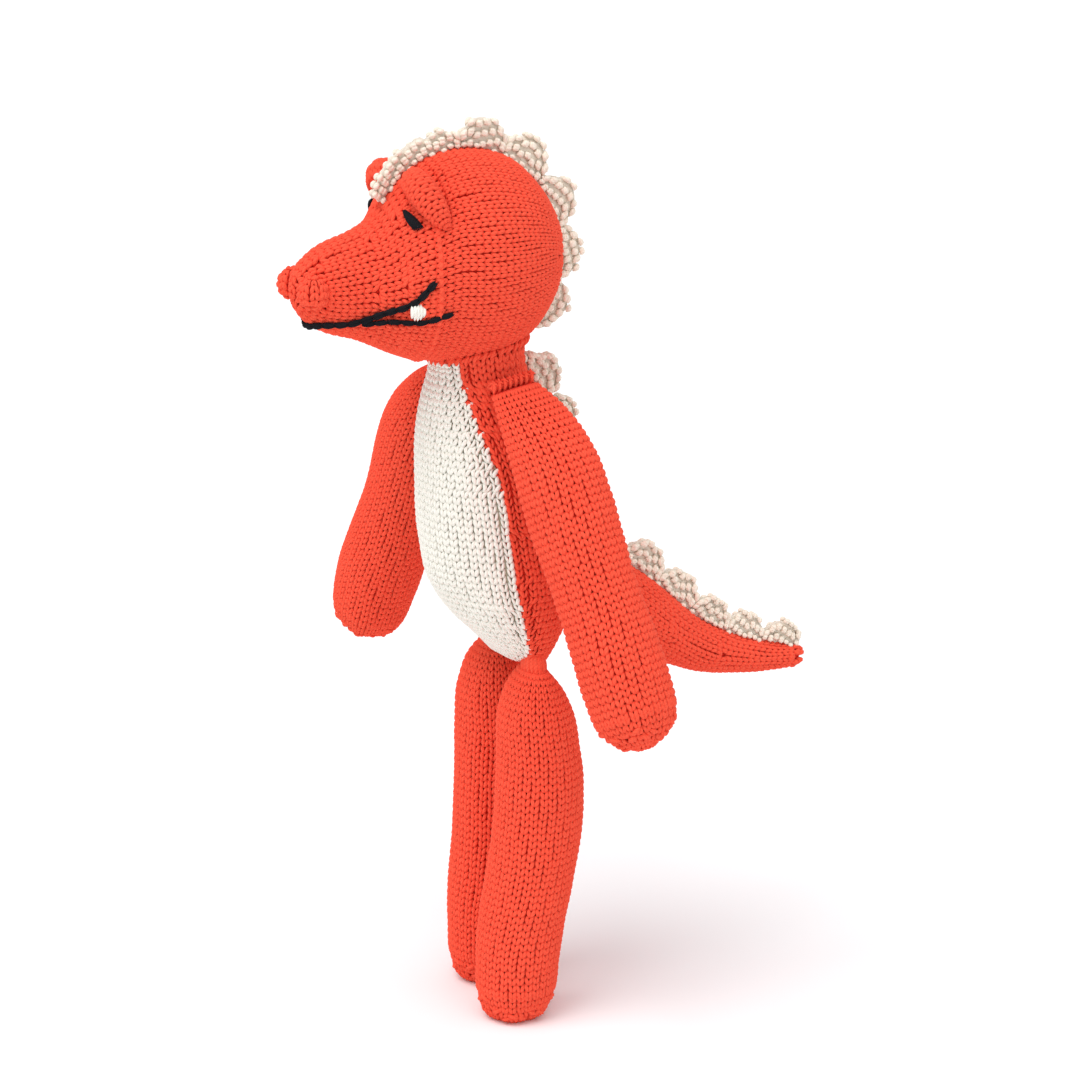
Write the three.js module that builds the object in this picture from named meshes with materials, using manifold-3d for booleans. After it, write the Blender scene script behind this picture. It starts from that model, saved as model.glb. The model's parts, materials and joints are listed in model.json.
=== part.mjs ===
// A hand-knitted stuffed dinosaur: knitted covers over separate lumps of stuffing, sewn
// together with yarn at the neck, shoulders, hips and tail, with a scalloped crest along
// its back. Millimetres, +Z up. The toy looks along -Y, so its left side is +X.
import * as THREE from "three";
import { mergeVertices } from "three/addons/utils/BufferGeometryUtils.js";
import Module from "manifold-3d";

const wasm = await Module();
wasm.setup();

// ---- Fabric and yarn ----
const KNIT_WALL = 2.4; // thickness of the knitted fabric
const FIT_GAP = 0.3; // clearance between pieces that touch
const FILLING_EASE = 0.9; // clearance between a cover and its filling
const SEW_YARN = 3.2; // diameter of the doubled sewing yarn in a seam
const LINE_YARN = 2.6; // diameter of the embroidered mouth line
const SIDES = 20; // facets round a soft body

// ---- Legs ----
const LEG_LENGTH = 158; // sole to the gathered top
const LEG_RADIUS = 17.6;
const HIP_SEAM_LENGTH = 12; // the leg's top is pinched flat and sewn along this line
const LEG_TOP_HALF_THICKNESS = 3; // half of the pinched top, front to back
const HIP_ROOM = 1.6; // free height between the hip seam and the torso
const SOLE_RADIUS = 10.5; // flat that the foot stands on
const KNEE_SWAY = 2; // the leg bows this far back at the knee
const LEFT_FOOT_REACH = 9; // the left foot stands this far forward of the hip
const RIGHT_FOOT_REACH = 3; // and the right foot this far
const HIP_SPACING = 43; // between the two hip seams
const HIP_SET_BACK = 16; // hips behind the neck

// ---- Torso ----
const TORSO_HEIGHT = 124; // bottom seam to the neck rim
const TORSO_HALF_WIDTH = 33;
const TORSO_BASE_HALF_WIDTH = 26.5; // half of the straight bottom seam
const TORSO_BASE_FLATNESS = 0.4; // depth over width at the bottom seam
const NECK_RADIUS = 20.5;
const TORSO_LEAN = 17; // the bottom sits this far behind the neck
const BELLY_EDGE_TOP = 14; // the belly panel's edge, in front of the torso's axis, at the neck
const BELLY_EDGE_MIDDLE = 9; // and at the widest level
const BELLY_EDGE_BOTTOM = 4; // and at the bottom seam

// ---- Head ----
const HEAD_HALF_WIDTH = 38;
const HEAD_HALF_DEPTH = 42.5;
const HEAD_HALF_HEIGHT = 44.5;
const HEAD_HOLE_RADIUS = 14; // stuffing hole over the neck
const HEAD_FORWARD = 7; // head centre in front of the neck
const NECK_ROOM = 0.3; // free height between the neck seam and the head's lowest point

// ---- Snout ----
const SNOUT_REACH = 75; // head centre to the tip
const SNOUT_DROP = 9; // snout axis below the head centre
const SNOUT_TIP_RADIUS = 12.5;
const SNOUT_ROOT_HALF_WIDTH = 31;
const SNOUT_ROOT_HALF_HEIGHT = 33;
const NOSTRIL_RADIUS = 5.6;
const NOSTRIL_SPACING = 23.5;
const NOSTRIL_SET_BACK = 5.5; // nostril centres behind the tip
const TOOTH_RADIUS = 3.1;

// ---- Brows and eyes ----
const BROW_LENGTH = 40;
const BROW_RADIUS = 7;
const BROW_LIFT = 3.4; // the roll's axis stands this far off the head at its ends
const EYE_RADIUS = 3.2;

// ---- Arms ----
const ARM_LENGTH = 160;
const ARM_RADIUS = 17;
const HAND_RADIUS = 18;
const ARM_SEAM_LENGTH = 24; // straight seam along the shoulder
const ARM_TOP_HALF_THICKNESS = 3.4; // the arm's top is sewn flat
const LEFT_ARM_SPLAY = 24; // degrees from hanging straight down
const RIGHT_ARM_SPLAY = 28;
const LEFT_ARM_BACKWARD = 9.5; // degrees, hand behind the shoulder
const RIGHT_ARM_BACKWARD = -7.5;
const GATHER_RADIUS = 3.2; // the yarn that draws the hand's end together
const GATHER_YARN = 1.8;
const ARM_TURN = 3; // degrees, the shoulder seam's front end turned outwards
const ARM_BULGE = 11; // the arm's axis moves outwards by this much below its flat top
const SHOULDER_DROP = 2; // shoulder seam below the neck rim
const SHOULDER_SET_BACK = 4; // shoulder seam behind the torso's axis
const SHOULDER_ROOM = 2.1; // the seam's middle stands this far off the torso

// ---- Tail ----
const TAIL_LENGTH = 116;
const TAIL_SEAM_RADIUS = 8; // the root is drawn in where it is sewn on
const TAIL_ROOT_HALF_WIDTH = 15; // fullest, a little behind the seam
const TAIL_ROOT_HALF_HEIGHT = 16.5;
const TAIL_ROOM = 1.8; // free length between the tail and its seam
const TAIL_TIP_RADIUS = 5;
const TAIL_DROOP = 10; // degrees below level at the seam
const TAIL_SAG = 29; // the tail bends down by this much further, then levels out
const TAIL_HEIGHT = 25; // root centre above the torso's bottom seam

// ---- Crest ----
const CREST_THICKNESS = 4;
const CREST_BAND = 4; // plain strip under the scallops
const SCALLOP_HEIGHT = 8.5;
const SCALLOP_LENGTH = 21.5; // along the edge that is sewn on

// ---- Colours ----
const material = (color, roughness) =>
  new THREE.MeshStandardMaterial({ color, roughness, metalness: 0 });
const CORAL_KNIT = material(0xf4482f, 0.92);
const CREAM_KNIT = material(0xefe8d6, 0.92);
const CREST_KNIT = material(0xdccbb2, 0.94);
const BLACK_YARN = material(0x1c1a1c, 0.85);
const FILLING = material(0xf6f4ee, 0.98);

const radians = THREE.MathUtils.degToRad;
const vector = (x, y, z) => new THREE.Vector3(x, y, z);

// ---------------------------------------------------------------- soft body tools

// A smooth value along a body, from [position, value] stations with rising positions.
function along(stations) {
  const curve = new THREE.SplineCurve(stations.map(([at, value]) => new THREE.Vector2(at, value)));
  const table = curve.getPoints(stations.length * 12);
  return (at) => {
    const next = table.findIndex((p) => p.x >= at);
    if (next <= 0) return next === 0 ? table[0].y : table.at(-1).y;
    const [a, b] = [table[next - 1], table[next]];
    return a.y + ((b.y - a.y) * (at - a.x)) / Math.max(b.x - a.x, 1e-9);
  };
}

// [radius, height] points moved inwards by a distance; a point on the axis stays on it.
function inset(profile, distance) {
  return profile.map(([r, z], i) => {
    const [r0, z0] = profile[Math.max(i - 1, 0)];
    const [r1, z1] = profile[Math.min(i + 1, profile.length - 1)];
    const length = Math.hypot(r1 - r0, z1 - z0);
    const onAxis = r === 0;
    const poleWay = Math.sign(z0 + z1 - 2 * z || 1);
    const normal = onAxis ? [0, poleWay] : [-(z1 - z0) / length, (r1 - r0) / length];
    return [onAxis ? 0 : Math.max(r + normal[0] * distance, 0.05), z + normal[1] * distance];
  });
}

// A solid of revolution about Z from [radius, height] points that run upwards.
function turned(profile, sides = SIDES) {
  const points = profile.map(([r, z]) => new THREE.Vector2(r, z));
  return new THREE.LatheGeometry(points, sides).rotateX(Math.PI / 2);
}

// Every vertex moved by a function of its place.
function warped(geometry, place) {
  const position = geometry.getAttribute("position");
  for (let i = 0; i < position.count; i++) {
    const p = place(new THREE.Vector3().fromBufferAttribute(position, i));
    position.setXYZ(i, p.x, p.y, p.z);
  }
  return geometry;
}

function solidOf(geometry) {
  const bare = new THREE.BufferGeometry().setAttribute(
    "position",
    (geometry.index ? geometry.toNonIndexed() : geometry).getAttribute("position"),
  );
  const merged = mergeVertices(bare, 1e-4);
  return new wasm.Manifold(
    new wasm.Mesh({
      numProp: 3,
      vertProperties: merged.attributes.position.array,
      triVerts: new Uint32Array(merged.index.array),
    }),
  );
}

function geometryOf(solid) {
  const mesh = solid.getMesh();
  const geometry = new THREE.BufferGeometry()
    .setAttribute("position", new THREE.BufferAttribute(mesh.vertProperties, 3))
    .setIndex(new THREE.BufferAttribute(mesh.triVerts, 1));
  geometry.computeVertexNormals();
  return geometry;
}

function piece(name, geometry, look) {
  const mesh = new THREE.Mesh(geometry, look);
  mesh.name = name;
  return mesh;
}

// A soft body that is closed at its low end and sewn up at its high end: its cover is a
// cup, and its filling fits inside it. Its profile runs from the low pole to the rim.
function softBody(profile, place) {
  const lining = inset(profile, KNIT_WALL);
  const rim = profile.at(-1)[1];
  lining[lining.length - 1][1] = rim;
  const inner = inset(profile, KNIT_WALL + FILLING_EASE).filter(([, z]) => z < rim - KNIT_WALL);
  const cup = [...profile, ...lining.reverse()];
  const lump = [...inner, [0, inner.at(-1)[1]]];
  return { cover: warped(turned(cup), place), filling: warped(turned(lump), place) };
}

// ---------------------------------------------------------------- frame of the toy

const hipHeight = LEG_LENGTH + FIT_GAP + SEW_YARN / 2;
const torsoBottom = hipHeight + SEW_YARN / 2 + HIP_ROOM;
const neckRim = torsoBottom + TORSO_HEIGHT;
const neckSeamHeight = neckRim + FIT_GAP + SEW_YARN / 2;
const headLowest = neckSeamHeight + SEW_YARN / 2 + NECK_ROOM;
const neckPivot = vector(0, 0, neckSeamHeight);

// ---------------------------------------------------------------- torso

const torsoLean = (z) => TORSO_LEAN * (1 - z / TORSO_HEIGHT);
const torsoFlatness = along([
  [0, TORSO_BASE_FLATNESS],
  [8, TORSO_BASE_FLATNESS + 0.2],
  [16, TORSO_BASE_FLATNESS + 0.4],
  [32, TORSO_BASE_FLATNESS + 0.62],
  [50, 1.04],
  [TORSO_HEIGHT - 30, 1],
  [TORSO_HEIGHT, 1],
]);
const torsoRadius = along([
  [0, TORSO_BASE_HALF_WIDTH - 4],
  [4, TORSO_BASE_HALF_WIDTH],
  [12, (TORSO_BASE_HALF_WIDTH + TORSO_HALF_WIDTH) / 2],
  [28, TORSO_HALF_WIDTH - 0.6],
  [52, TORSO_HALF_WIDTH],
  [TORSO_HEIGHT - 46, TORSO_HALF_WIDTH * 0.97],
  [TORSO_HEIGHT - 30, (NECK_RADIUS + 3 * TORSO_HALF_WIDTH) / 4],
  [TORSO_HEIGHT - 14, (3 * NECK_RADIUS + 2 * TORSO_HALF_WIDTH) / 5],
  [TORSO_HEIGHT, NECK_RADIUS],
]);
const TORSO_SHARES = [0, 0.032, 0.08, 0.145, 0.226, 0.34, 0.47, 0.6, 0.71, 0.81, 0.9, 1];
const torsoLevels = TORSO_SHARES.map((share) => share * TORSO_HEIGHT);
const torsoPlace = (p) =>
  vector(p.x, p.y * torsoFlatness(p.z) + torsoLean(p.z), p.z + torsoBottom);

const CUT_OVERRUN = 5; // a cutting block reaches this far past what it cuts

function makeTorso() {
  const profile = [[0, 0], ...torsoLevels.map((z) => [torsoRadius(z), z + (z ? 0 : 0.6)])];
  const body = softBody(profile, torsoPlace);
  const cutter = (shift) => {
    const edge = along([
      [-CUT_OVERRUN, BELLY_EDGE_BOTTOM],
      [18, (BELLY_EDGE_BOTTOM + BELLY_EDGE_MIDDLE) / 2],
      [40, BELLY_EDGE_MIDDLE],
      [TORSO_HEIGHT - 44, BELLY_EDGE_MIDDLE],
      [TORSO_HEIGHT - 15, BELLY_EDGE_TOP],
      [TORSO_HEIGHT + CUT_OVERRUN, BELLY_EDGE_TOP],
    ]);
    const front = -2 * TORSO_HALF_WIDTH;
    const [low, high] = [-CUT_OVERRUN, TORSO_HEIGHT + CUT_OVERRUN];
    const outline = new THREE.Shape([
      new THREE.Vector2(front, high + torsoBottom),
      new THREE.Vector2(front, low + torsoBottom),
    ]);
    for (let k = 0; k <= 12; k++) {
      const z = low + (k / 12) * (high - low);
      outline.lineTo(torsoLean(z) - edge(z) + shift, z + torsoBottom);
    }
    const width = 3 * TORSO_HALF_WIDTH;
    const block = new THREE.ExtrudeGeometry(outline, { depth: width, bevelEnabled: false });
    return solidOf(warped(block, (p) => vector(p.z - width / 2, p.x, p.y)));
  };
  const cover = solidOf(body.cover);
  return [
    piece("belly_panel", geometryOf(cover.intersect(cutter(-FIT_GAP / 2))), CREAM_KNIT),
    piece("back_panel", geometryOf(cover.subtract(cutter(FIT_GAP / 2))), CORAL_KNIT),
    piece("torso_filling", body.filling, FILLING),
  ];
}

// ---------------------------------------------------------------- head

// Places on the head are measured from the point on the neck seam that it turns about.
const headCentre = vector(0, -HEAD_FORWARD, headLowest - neckSeamHeight + HEAD_HALF_HEIGHT);
const headFlatness = HEAD_HALF_DEPTH / HEAD_HALF_WIDTH;
const headPlace = (p) => vector(p.x, p.y * headFlatness, p.z).add(headCentre);

// The ball's profile from its top pole down to a level, made larger by a distance.
function ballProfile(lowestAngle, grow = 0, steps = 13) {
  return Array.from({ length: steps + 1 }, (_, k) => {
    const a = (k / steps) * lowestAngle;
    return [k ? (HEAD_HALF_WIDTH + grow) * Math.sin(a) : 0, (HEAD_HALF_HEIGHT + grow) * Math.cos(a)];
  });
}

const headHole = Math.PI - Math.asin(HEAD_HOLE_RADIUS / HEAD_HALF_WIDTH);

function ballSolid(grow) {
  const profile = ballProfile(headHole, grow).reverse();
  return solidOf(warped(turned([[0, profile[0][1]], ...profile]), headPlace));
}

function makeBall() {
  const cup = [...ballProfile(headHole, -KNIT_WALL), ...ballProfile(headHole).reverse()];
  const lump = ballProfile(headHole, -KNIT_WALL - FILLING_EASE).reverse();
  return [
    piece("head_cover", warped(turned(cup), headPlace), CORAL_KNIT),
    piece("head_filling", warped(turned([[0, lump[0][1]], ...lump]), headPlace), FILLING),
  ];
}

// ---------------------------------------------------------------- snout

const snoutHalfWidth = along([
  [0, 0],
  [2.5, SNOUT_TIP_RADIUS * 0.72],
  [9, SNOUT_TIP_RADIUS * 1.12],
  [28, SNOUT_TIP_RADIUS * 1.45],
  [SNOUT_REACH - 26, SNOUT_ROOT_HALF_WIDTH],
  [SNOUT_REACH, SNOUT_ROOT_HALF_WIDTH],
]);
const snoutHalfHeight = along([
  [0, 0],
  [2.5, SNOUT_TIP_RADIUS * 0.7],
  [9, SNOUT_TIP_RADIUS * 1.2],
  [28, SNOUT_TIP_RADIUS * 1.8],
  [SNOUT_REACH - 26, SNOUT_ROOT_HALF_HEIGHT],
  [SNOUT_REACH, SNOUT_ROOT_HALF_HEIGHT],
]);
const snoutRise = along([
  [0, -1],
  [28, 0],
  [SNOUT_REACH, 2],
]);

// A point of the snout's surface: distance back from the tip, angle from +X towards +Z, and
// height above the surface, from the head's pivot.
function onSnout(back, angle, lift = 0) {
  return vector(
    (snoutHalfWidth(back) + lift) * Math.cos(angle),
    back - SNOUT_REACH,
    (snoutHalfHeight(back) + lift) * Math.sin(angle) - SNOUT_DROP + snoutRise(back),
  ).add(headCentre);
}

// The snout as a solid, made larger by a distance all round.
function snoutSolid(grow) {
  const levels = [0, 1.2, 3.5, 8, 15, 24, 34, 44, SNOUT_REACH - 26, SNOUT_REACH - 12];
  const last = levels.at(-1);
  const skin = inset(levels.map((z) => [snoutHalfWidth(z), z]), -grow);
  skin[skin.length - 1][1] = last;
  const place = (p) => {
    const back = Math.max(p.z, 1);
    const tall = p.y * (snoutHalfHeight(back) / snoutHalfWidth(back));
    return vector(p.x, p.z - SNOUT_REACH, tall - SNOUT_DROP + snoutRise(back)).add(headCentre);
  };
  // The swap of Y and Z turns the body inside out, so its profile runs downwards.
  return solidOf(warped(turned([...skin, [0, last]].reverse()), place));
}

function makeSnout(ball) {
  const outer = snoutSolid(0);
  const lining = snoutSolid(-KNIT_WALL);
  const lump = snoutSolid(-KNIT_WALL - FILLING_EASE);
  return [
    piece("snout_cover", geometryOf(outer.subtract(lining).subtract(ball)), CORAL_KNIT),
    piece("snout_filling", geometryOf(lump.subtract(ball)), FILLING),
  ];
}

// ---------------------------------------------------------------- face

const ROUND_STEPS = 12;

// An egg with its long axis from one point to another.
function egg(from, to, radius, flatness = 1) {
  const length = from.distanceTo(to);
  const geometry = new THREE.SphereGeometry(1, ROUND_STEPS, ROUND_STEPS - 4).scale(
    radius * flatness,
    radius,
    length / 2,
  );
  const turn = new THREE.Quaternion().setFromUnitVectors(vector(0, 0, 1), to.clone().sub(from).normalize());
  return geometry.applyQuaternion(turn).translate(...from.clone().lerp(to, 0.5).toArray());
}

// A point of the head ball: angle forward from the top, then round to the side.
function onBall(forward, sideways, lift = 0) {
  const [f, s] = [radians(forward), radians(sideways)];
  return vector(
    (HEAD_HALF_WIDTH + lift) * Math.sin(s),
    -(HEAD_HALF_DEPTH + lift) * Math.sin(f) * Math.cos(s),
    (HEAD_HALF_HEIGHT + lift) * Math.cos(f) * Math.cos(s),
  ).add(headCentre);
}

function yarnTube(points, diameter, steps) {
  const path = new THREE.CatmullRomCurve3(points);
  const section = new THREE.Shape().absarc(0, 0, diameter / 2, 0, 2 * Math.PI);
  return new THREE.ExtrudeGeometry(section, { steps, curveSegments: 8, extrudePath: path });
}

function mirrored(side, point) {
  return vector(side * point.x, point.y, point.z);
}

function makeFace(headSolid) {
  const pieces = [];
  for (const [side, word] of [[1, "left"], [-1, "right"]]) {
    const browFrom = mirrored(side, onBall(38, 12, BROW_LIFT));
    const browTo = mirrored(side, onBall(49, 52, BROW_LIFT));
    const stretch = BROW_LENGTH / browFrom.distanceTo(browTo) / 2;
    const middle = browFrom.clone().lerp(browTo, 0.5);
    const ends = [browFrom, browTo].map((p) => p.sub(middle).multiplyScalar(2 * stretch).add(middle));
    const brow = solidOf(egg(...ends, BROW_RADIUS));
    pieces.push(piece(`${word}_brow`, geometryOf(brow.subtract(headSolid)), CORAL_KNIT));
    const grownBrow = solidOf(egg(...ends, BROW_RADIUS + FIT_GAP));
    const [eyeFrom, eyeTo] = [onBall(55, 24, 1.4), onBall(63, 42, 1.4)].map((p) => mirrored(side, p));
    const eye = solidOf(egg(eyeFrom, eyeTo, EYE_RADIUS));
    pieces.push(piece(`${word}_eye`, geometryOf(eye.subtract(headSolid).subtract(grownBrow)), BLACK_YARN));
    const spot = vector((side * NOSTRIL_SPACING) / 2, NOSTRIL_SET_BACK - SNOUT_REACH, -SNOUT_DROP);
    const nostril = [-NOSTRIL_RADIUS, NOSTRIL_RADIUS].map((z) => vector(0, 0, z).add(spot).add(headCentre));
    const nostrilEgg = solidOf(egg(...nostril, NOSTRIL_RADIUS));
    pieces.push(piece(`${word}_nostril`, geometryOf(nostrilEgg.subtract(headSolid)), CORAL_KNIT));
  }
  return pieces;
}

function makeMouth(headSolid) {
  const lift = LINE_YARN / 2 - 0.6;
  const cheek = (back, degrees) => onSnout(back, radians(degrees), lift);
  const upper = [cheek(50, 7), cheek(42, -8), cheek(32, -20), cheek(20, -36), cheek(9, -52), cheek(6, -90)];
  const wholeLine = [...upper, ...upper.slice(0, -1).reverse().map((p) => mirrored(-1, p))];
  const line = solidOf(yarnTube(wholeLine, LINE_YARN, 44)).subtract(headSolid);
  const pieces = [piece("mouth_line", geometryOf(line), BLACK_YARN)];
  const grownLine = solidOf(yarnTube(wholeLine, LINE_YARN + 2 * FIT_GAP, 44));
  for (const [side, word] of [[1, "left"], [-1, "right"]]) {
    const lipLine = [cheek(27, -35), cheek(36, -26), cheek(45, -23), cheek(50, -20)];
    const lip = lipLine.map((p) => mirrored(side, p));
    const lipSolid = solidOf(yarnTube(lip, LINE_YARN - 0.4, 10)).subtract(headSolid).subtract(grownLine);
    pieces.push(piece(`${word}_lip_line`, geometryOf(lipSolid), BLACK_YARN));
    const gum = mirrored(side, onSnout(43, radians(-14.5), 1.4));
    const down = vector(0, 0, TOOTH_RADIUS + 0.6);
    const tooth = solidOf(egg(gum.clone().sub(down), gum.clone().add(down), TOOTH_RADIUS));
    const grownLip = solidOf(yarnTube(lip, LINE_YARN - 0.4 + 2 * FIT_GAP, 10));
    const seenTooth = tooth.subtract(headSolid).subtract(grownLine).subtract(grownLip);
    pieces.push(piece(`${word}_tooth`, geometryOf(seenTooth), CREAM_KNIT));
  }
  return pieces;
}

// ---------------------------------------------------------------- crest

// A scalloped strip in the YZ plane: base(s) is the sewn edge and out(s) the way out of it.
function scallopedStrip(count, base, out, height) {
  const PER_SCALLOP = 7;
  const steps = count * PER_SCALLOP;
  const outer = [];
  for (let k = 0; k <= steps; k++) {
    const s = k / steps;
    const rise = Math.abs(Math.sin((Math.PI * k) / PER_SCALLOP)) ** 0.65;
    const tall = CREST_BAND + rise * height(s);
    outer.push(base(s).clone().addScaledVector(out(s), tall));
  }
  const innerSteps = count * 3;
  const inner = Array.from({ length: innerSteps + 1 }, (_, k) => base(1 - k / innerSteps));
  const outline = new THREE.Shape([...outer, ...inner]);
  const strip = new THREE.ExtrudeGeometry(outline, { depth: CREST_THICKNESS, bevelEnabled: false });
  return warped(strip, (p) => vector(p.z - CREST_THICKNESS / 2, p.x, p.y));
}

const CREST_FRONT = radians(57); // the crest starts this far forward of the head's top
const CREST_END = radians(-134); // and ends this far behind it

function makeHeadCrest(headSolid) {
  const angle = (s) => CREST_FRONT + s * (CREST_END - CREST_FRONT);
  const base = (s) =>
    new THREE.Vector2(
      headCentre.y - (HEAD_HALF_DEPTH + FIT_GAP) * Math.sin(angle(s)),
      headCentre.z + (HEAD_HALF_HEIGHT + FIT_GAP) * Math.cos(angle(s)),
    );
  const out = (s) => new THREE.Vector2(-Math.sin(angle(s)), Math.cos(angle(s)));
  const length = ((HEAD_HALF_DEPTH + HEAD_HALF_HEIGHT) / 2) * (CREST_FRONT - CREST_END);
  const count = Math.round(length / SCALLOP_LENGTH);
  const height = (s) => SCALLOP_HEIGHT * Math.max(0.12, Math.min(1.1, 6 * s - 0.9, 1.6 - 0.8 * s));
  const strip = solidOf(scallopedStrip(count, base, out, height)).subtract(headSolid);
  return piece("head_crest", geometryOf(strip), CREST_KNIT);
}

function makeBackCrest() {
  const [low, high] = [TAIL_HEIGHT + TAIL_ROOT_HALF_HEIGHT + 6, TORSO_HEIGHT - 4];
  const edge = (s) => {
    const z = high + s * (low - high);
    return torsoPlace(vector(0, torsoRadius(z) + FIT_GAP, z));
  };
  const base = (s) => new THREE.Vector2(edge(s).y, edge(s).z);
  const out = (s) => {
    const along2 = base(Math.min(s + 0.02, 1)).sub(base(Math.max(s - 0.02, 0)));
    return new THREE.Vector2(-along2.y, along2.x).normalize();
  };
  const count = Math.round((high - low) / SCALLOP_LENGTH);
  const strip = solidOf(scallopedStrip(count, base, out, () => SCALLOP_HEIGHT));
  const grown = torsoLevels.map((z) => [torsoRadius(z) + FIT_GAP, z]);
  const torso = solidOf(warped(turned([[0, 0], ...grown, [0, TORSO_HEIGHT]]), torsoPlace));
  return piece("back_crest", geometryOf(strip.subtract(torso)), CREST_KNIT);
}

// ---------------------------------------------------------------- limbs

// Profile from the closed low end up to the rim at height 0.
function limbProfile(radius, length, levels) {
  return [[0, -length], ...levels.map((t) => [radius(t), -t])];
}

function makeArm(side, word) {
  const half = ARM_SEAM_LENGTH / 2;
  const wide = along([
    [0, half - 1.5],
    [10, half + 2],
    [30, ARM_RADIUS],
    [ARM_LENGTH * 0.6, ARM_RADIUS],
    [ARM_LENGTH - 24, HAND_RADIUS],
    [ARM_LENGTH - 9, HAND_RADIUS * 0.84],
    [ARM_LENGTH - 2.5, HAND_RADIUS * 0.46],
    [ARM_LENGTH, HAND_RADIUS * 0.2],
  ]);
  const thin = along([
    [0, ARM_TOP_HALF_THICKNESS / (half - 1.5)],
    [10, 0.52],
    [28, 0.82],
    [55, 1],
    [ARM_LENGTH, 1],
  ]);
  const bulge = along([
    [0, 0],
    [10, ARM_BULGE * 0.5],
    [30, ARM_BULGE],
    [ARM_LENGTH * 0.45, ARM_BULGE * 0.9],
    [ARM_LENGTH, ARM_BULGE * 0.3],
  ]);
  const L = ARM_LENGTH;
  const handLevels = [L - 0.4, L - 2.5, L - 9, L - 24];
  const levels = [...handLevels, L * 0.73, L * 0.52, L * 0.3, L * 0.18, L * 0.11, 10, 4, 0];
  const profile = limbProfile(wide, ARM_LENGTH, levels);
  const place = (p) => vector(p.x * thin(-p.z) + side * bulge(-p.z), p.y, p.z - SEW_YARN / 2 - FIT_GAP);
  const body = softBody(profile, place);
  const tie = new THREE.TorusGeometry(GATHER_RADIUS, GATHER_YARN / 2, 6, 14);
  tie.translate(side * ARM_BULGE * 0.3, 0, -ARM_LENGTH - SEW_YARN / 2 - 1.5);
  const arm = new THREE.Group();
  arm.add(
    piece(`${word}_arm_cover`, body.cover, CORAL_KNIT),
    piece(`${word}_arm_filling`, body.filling, FILLING),
    piece(`${word}_hand_gather_yarn`, tie, CORAL_KNIT),
  );
  return arm;
}

function seamRod(name, length) {
  const rod = new THREE.CapsuleGeometry(SEW_YARN / 2, length - SEW_YARN, 4, 10);
  return piece(name, rod, CORAL_KNIT);
}

function makeShoulder(side, word) {
  const shoulder = new THREE.Group();
  const level = TORSO_HEIGHT - SHOULDER_DROP;
  const out = torsoRadius(level) + FIT_GAP + SEW_YARN / 2 + SHOULDER_ROOM;
  const splay = side > 0 ? LEFT_ARM_SPLAY : RIGHT_ARM_SPLAY;
  const backward = side > 0 ? LEFT_ARM_BACKWARD : RIGHT_ARM_BACKWARD;
  shoulder.position.copy(torsoPlace(vector(side * out, SHOULDER_SET_BACK, level)));
  shoulder.rotation.set(radians(backward), -side * radians(splay), side * radians(ARM_TURN), "ZYX");
  shoulder.add(seamRod(`${word}_shoulder_seam`, ARM_SEAM_LENGTH), makeArm(side, word));
  return shoulder;
}

function makeLeg(side, word) {
  const radius = along([
    [0, HIP_SEAM_LENGTH / 2],
    [6, LEG_RADIUS * 0.62],
    [18, LEG_RADIUS * 0.9],
    [36, LEG_RADIUS],
    [LEG_LENGTH * 0.62, LEG_RADIUS * 1.02],
    [LEG_LENGTH - 26, LEG_RADIUS],
    [LEG_LENGTH - 12, LEG_RADIUS * 0.95],
    [LEG_LENGTH - 3.5, SOLE_RADIUS * 1.26],
    [LEG_LENGTH, SOLE_RADIUS],
  ]);
  const thin = along([
    [0, (2 * LEG_TOP_HALF_THICKNESS) / HIP_SEAM_LENGTH],
    [6, 0.72],
    [18, 0.93],
    [36, 1],
    [LEG_LENGTH, 1],
  ]);
  const L = LEG_LENGTH;
  const levels = [L, L - 3.5, L - 12, L - 26, L * 0.7, L * 0.54, L * 0.38, L * 0.23, L * 0.115, 10, 4, 0];
  const reach = side > 0 ? LEFT_FOOT_REACH : RIGHT_FOOT_REACH;
  const sway = along([
    [0, 0],
    [LEG_LENGTH * 0.45, KNEE_SWAY],
    [LEG_LENGTH * 0.8, -reach * 0.85],
    [LEG_LENGTH, -reach],
  ]);
  const place = (p) => vector(p.x, p.y * thin(-p.z) + sway(-p.z), p.z - SEW_YARN / 2 - FIT_GAP);
  const body = softBody(limbProfile(radius, LEG_LENGTH, levels), place);
  const leg = new THREE.Group();
  leg.add(
    piece(`${word}_leg_cover`, body.cover, CORAL_KNIT),
    piece(`${word}_leg_filling`, body.filling, FILLING),
  );
  return leg;
}

function makeHip(side, word) {
  const hip = new THREE.Group();
  hip.position.set((side * HIP_SPACING) / 2, HIP_SET_BACK, hipHeight);
  const seam = seamRod(`${word}_hip_seam`, HIP_SEAM_LENGTH);
  seam.rotation.z = Math.PI / 2;
  hip.add(seam, makeLeg(side, word));
  return hip;
}

// ---------------------------------------------------------------- tail

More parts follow.
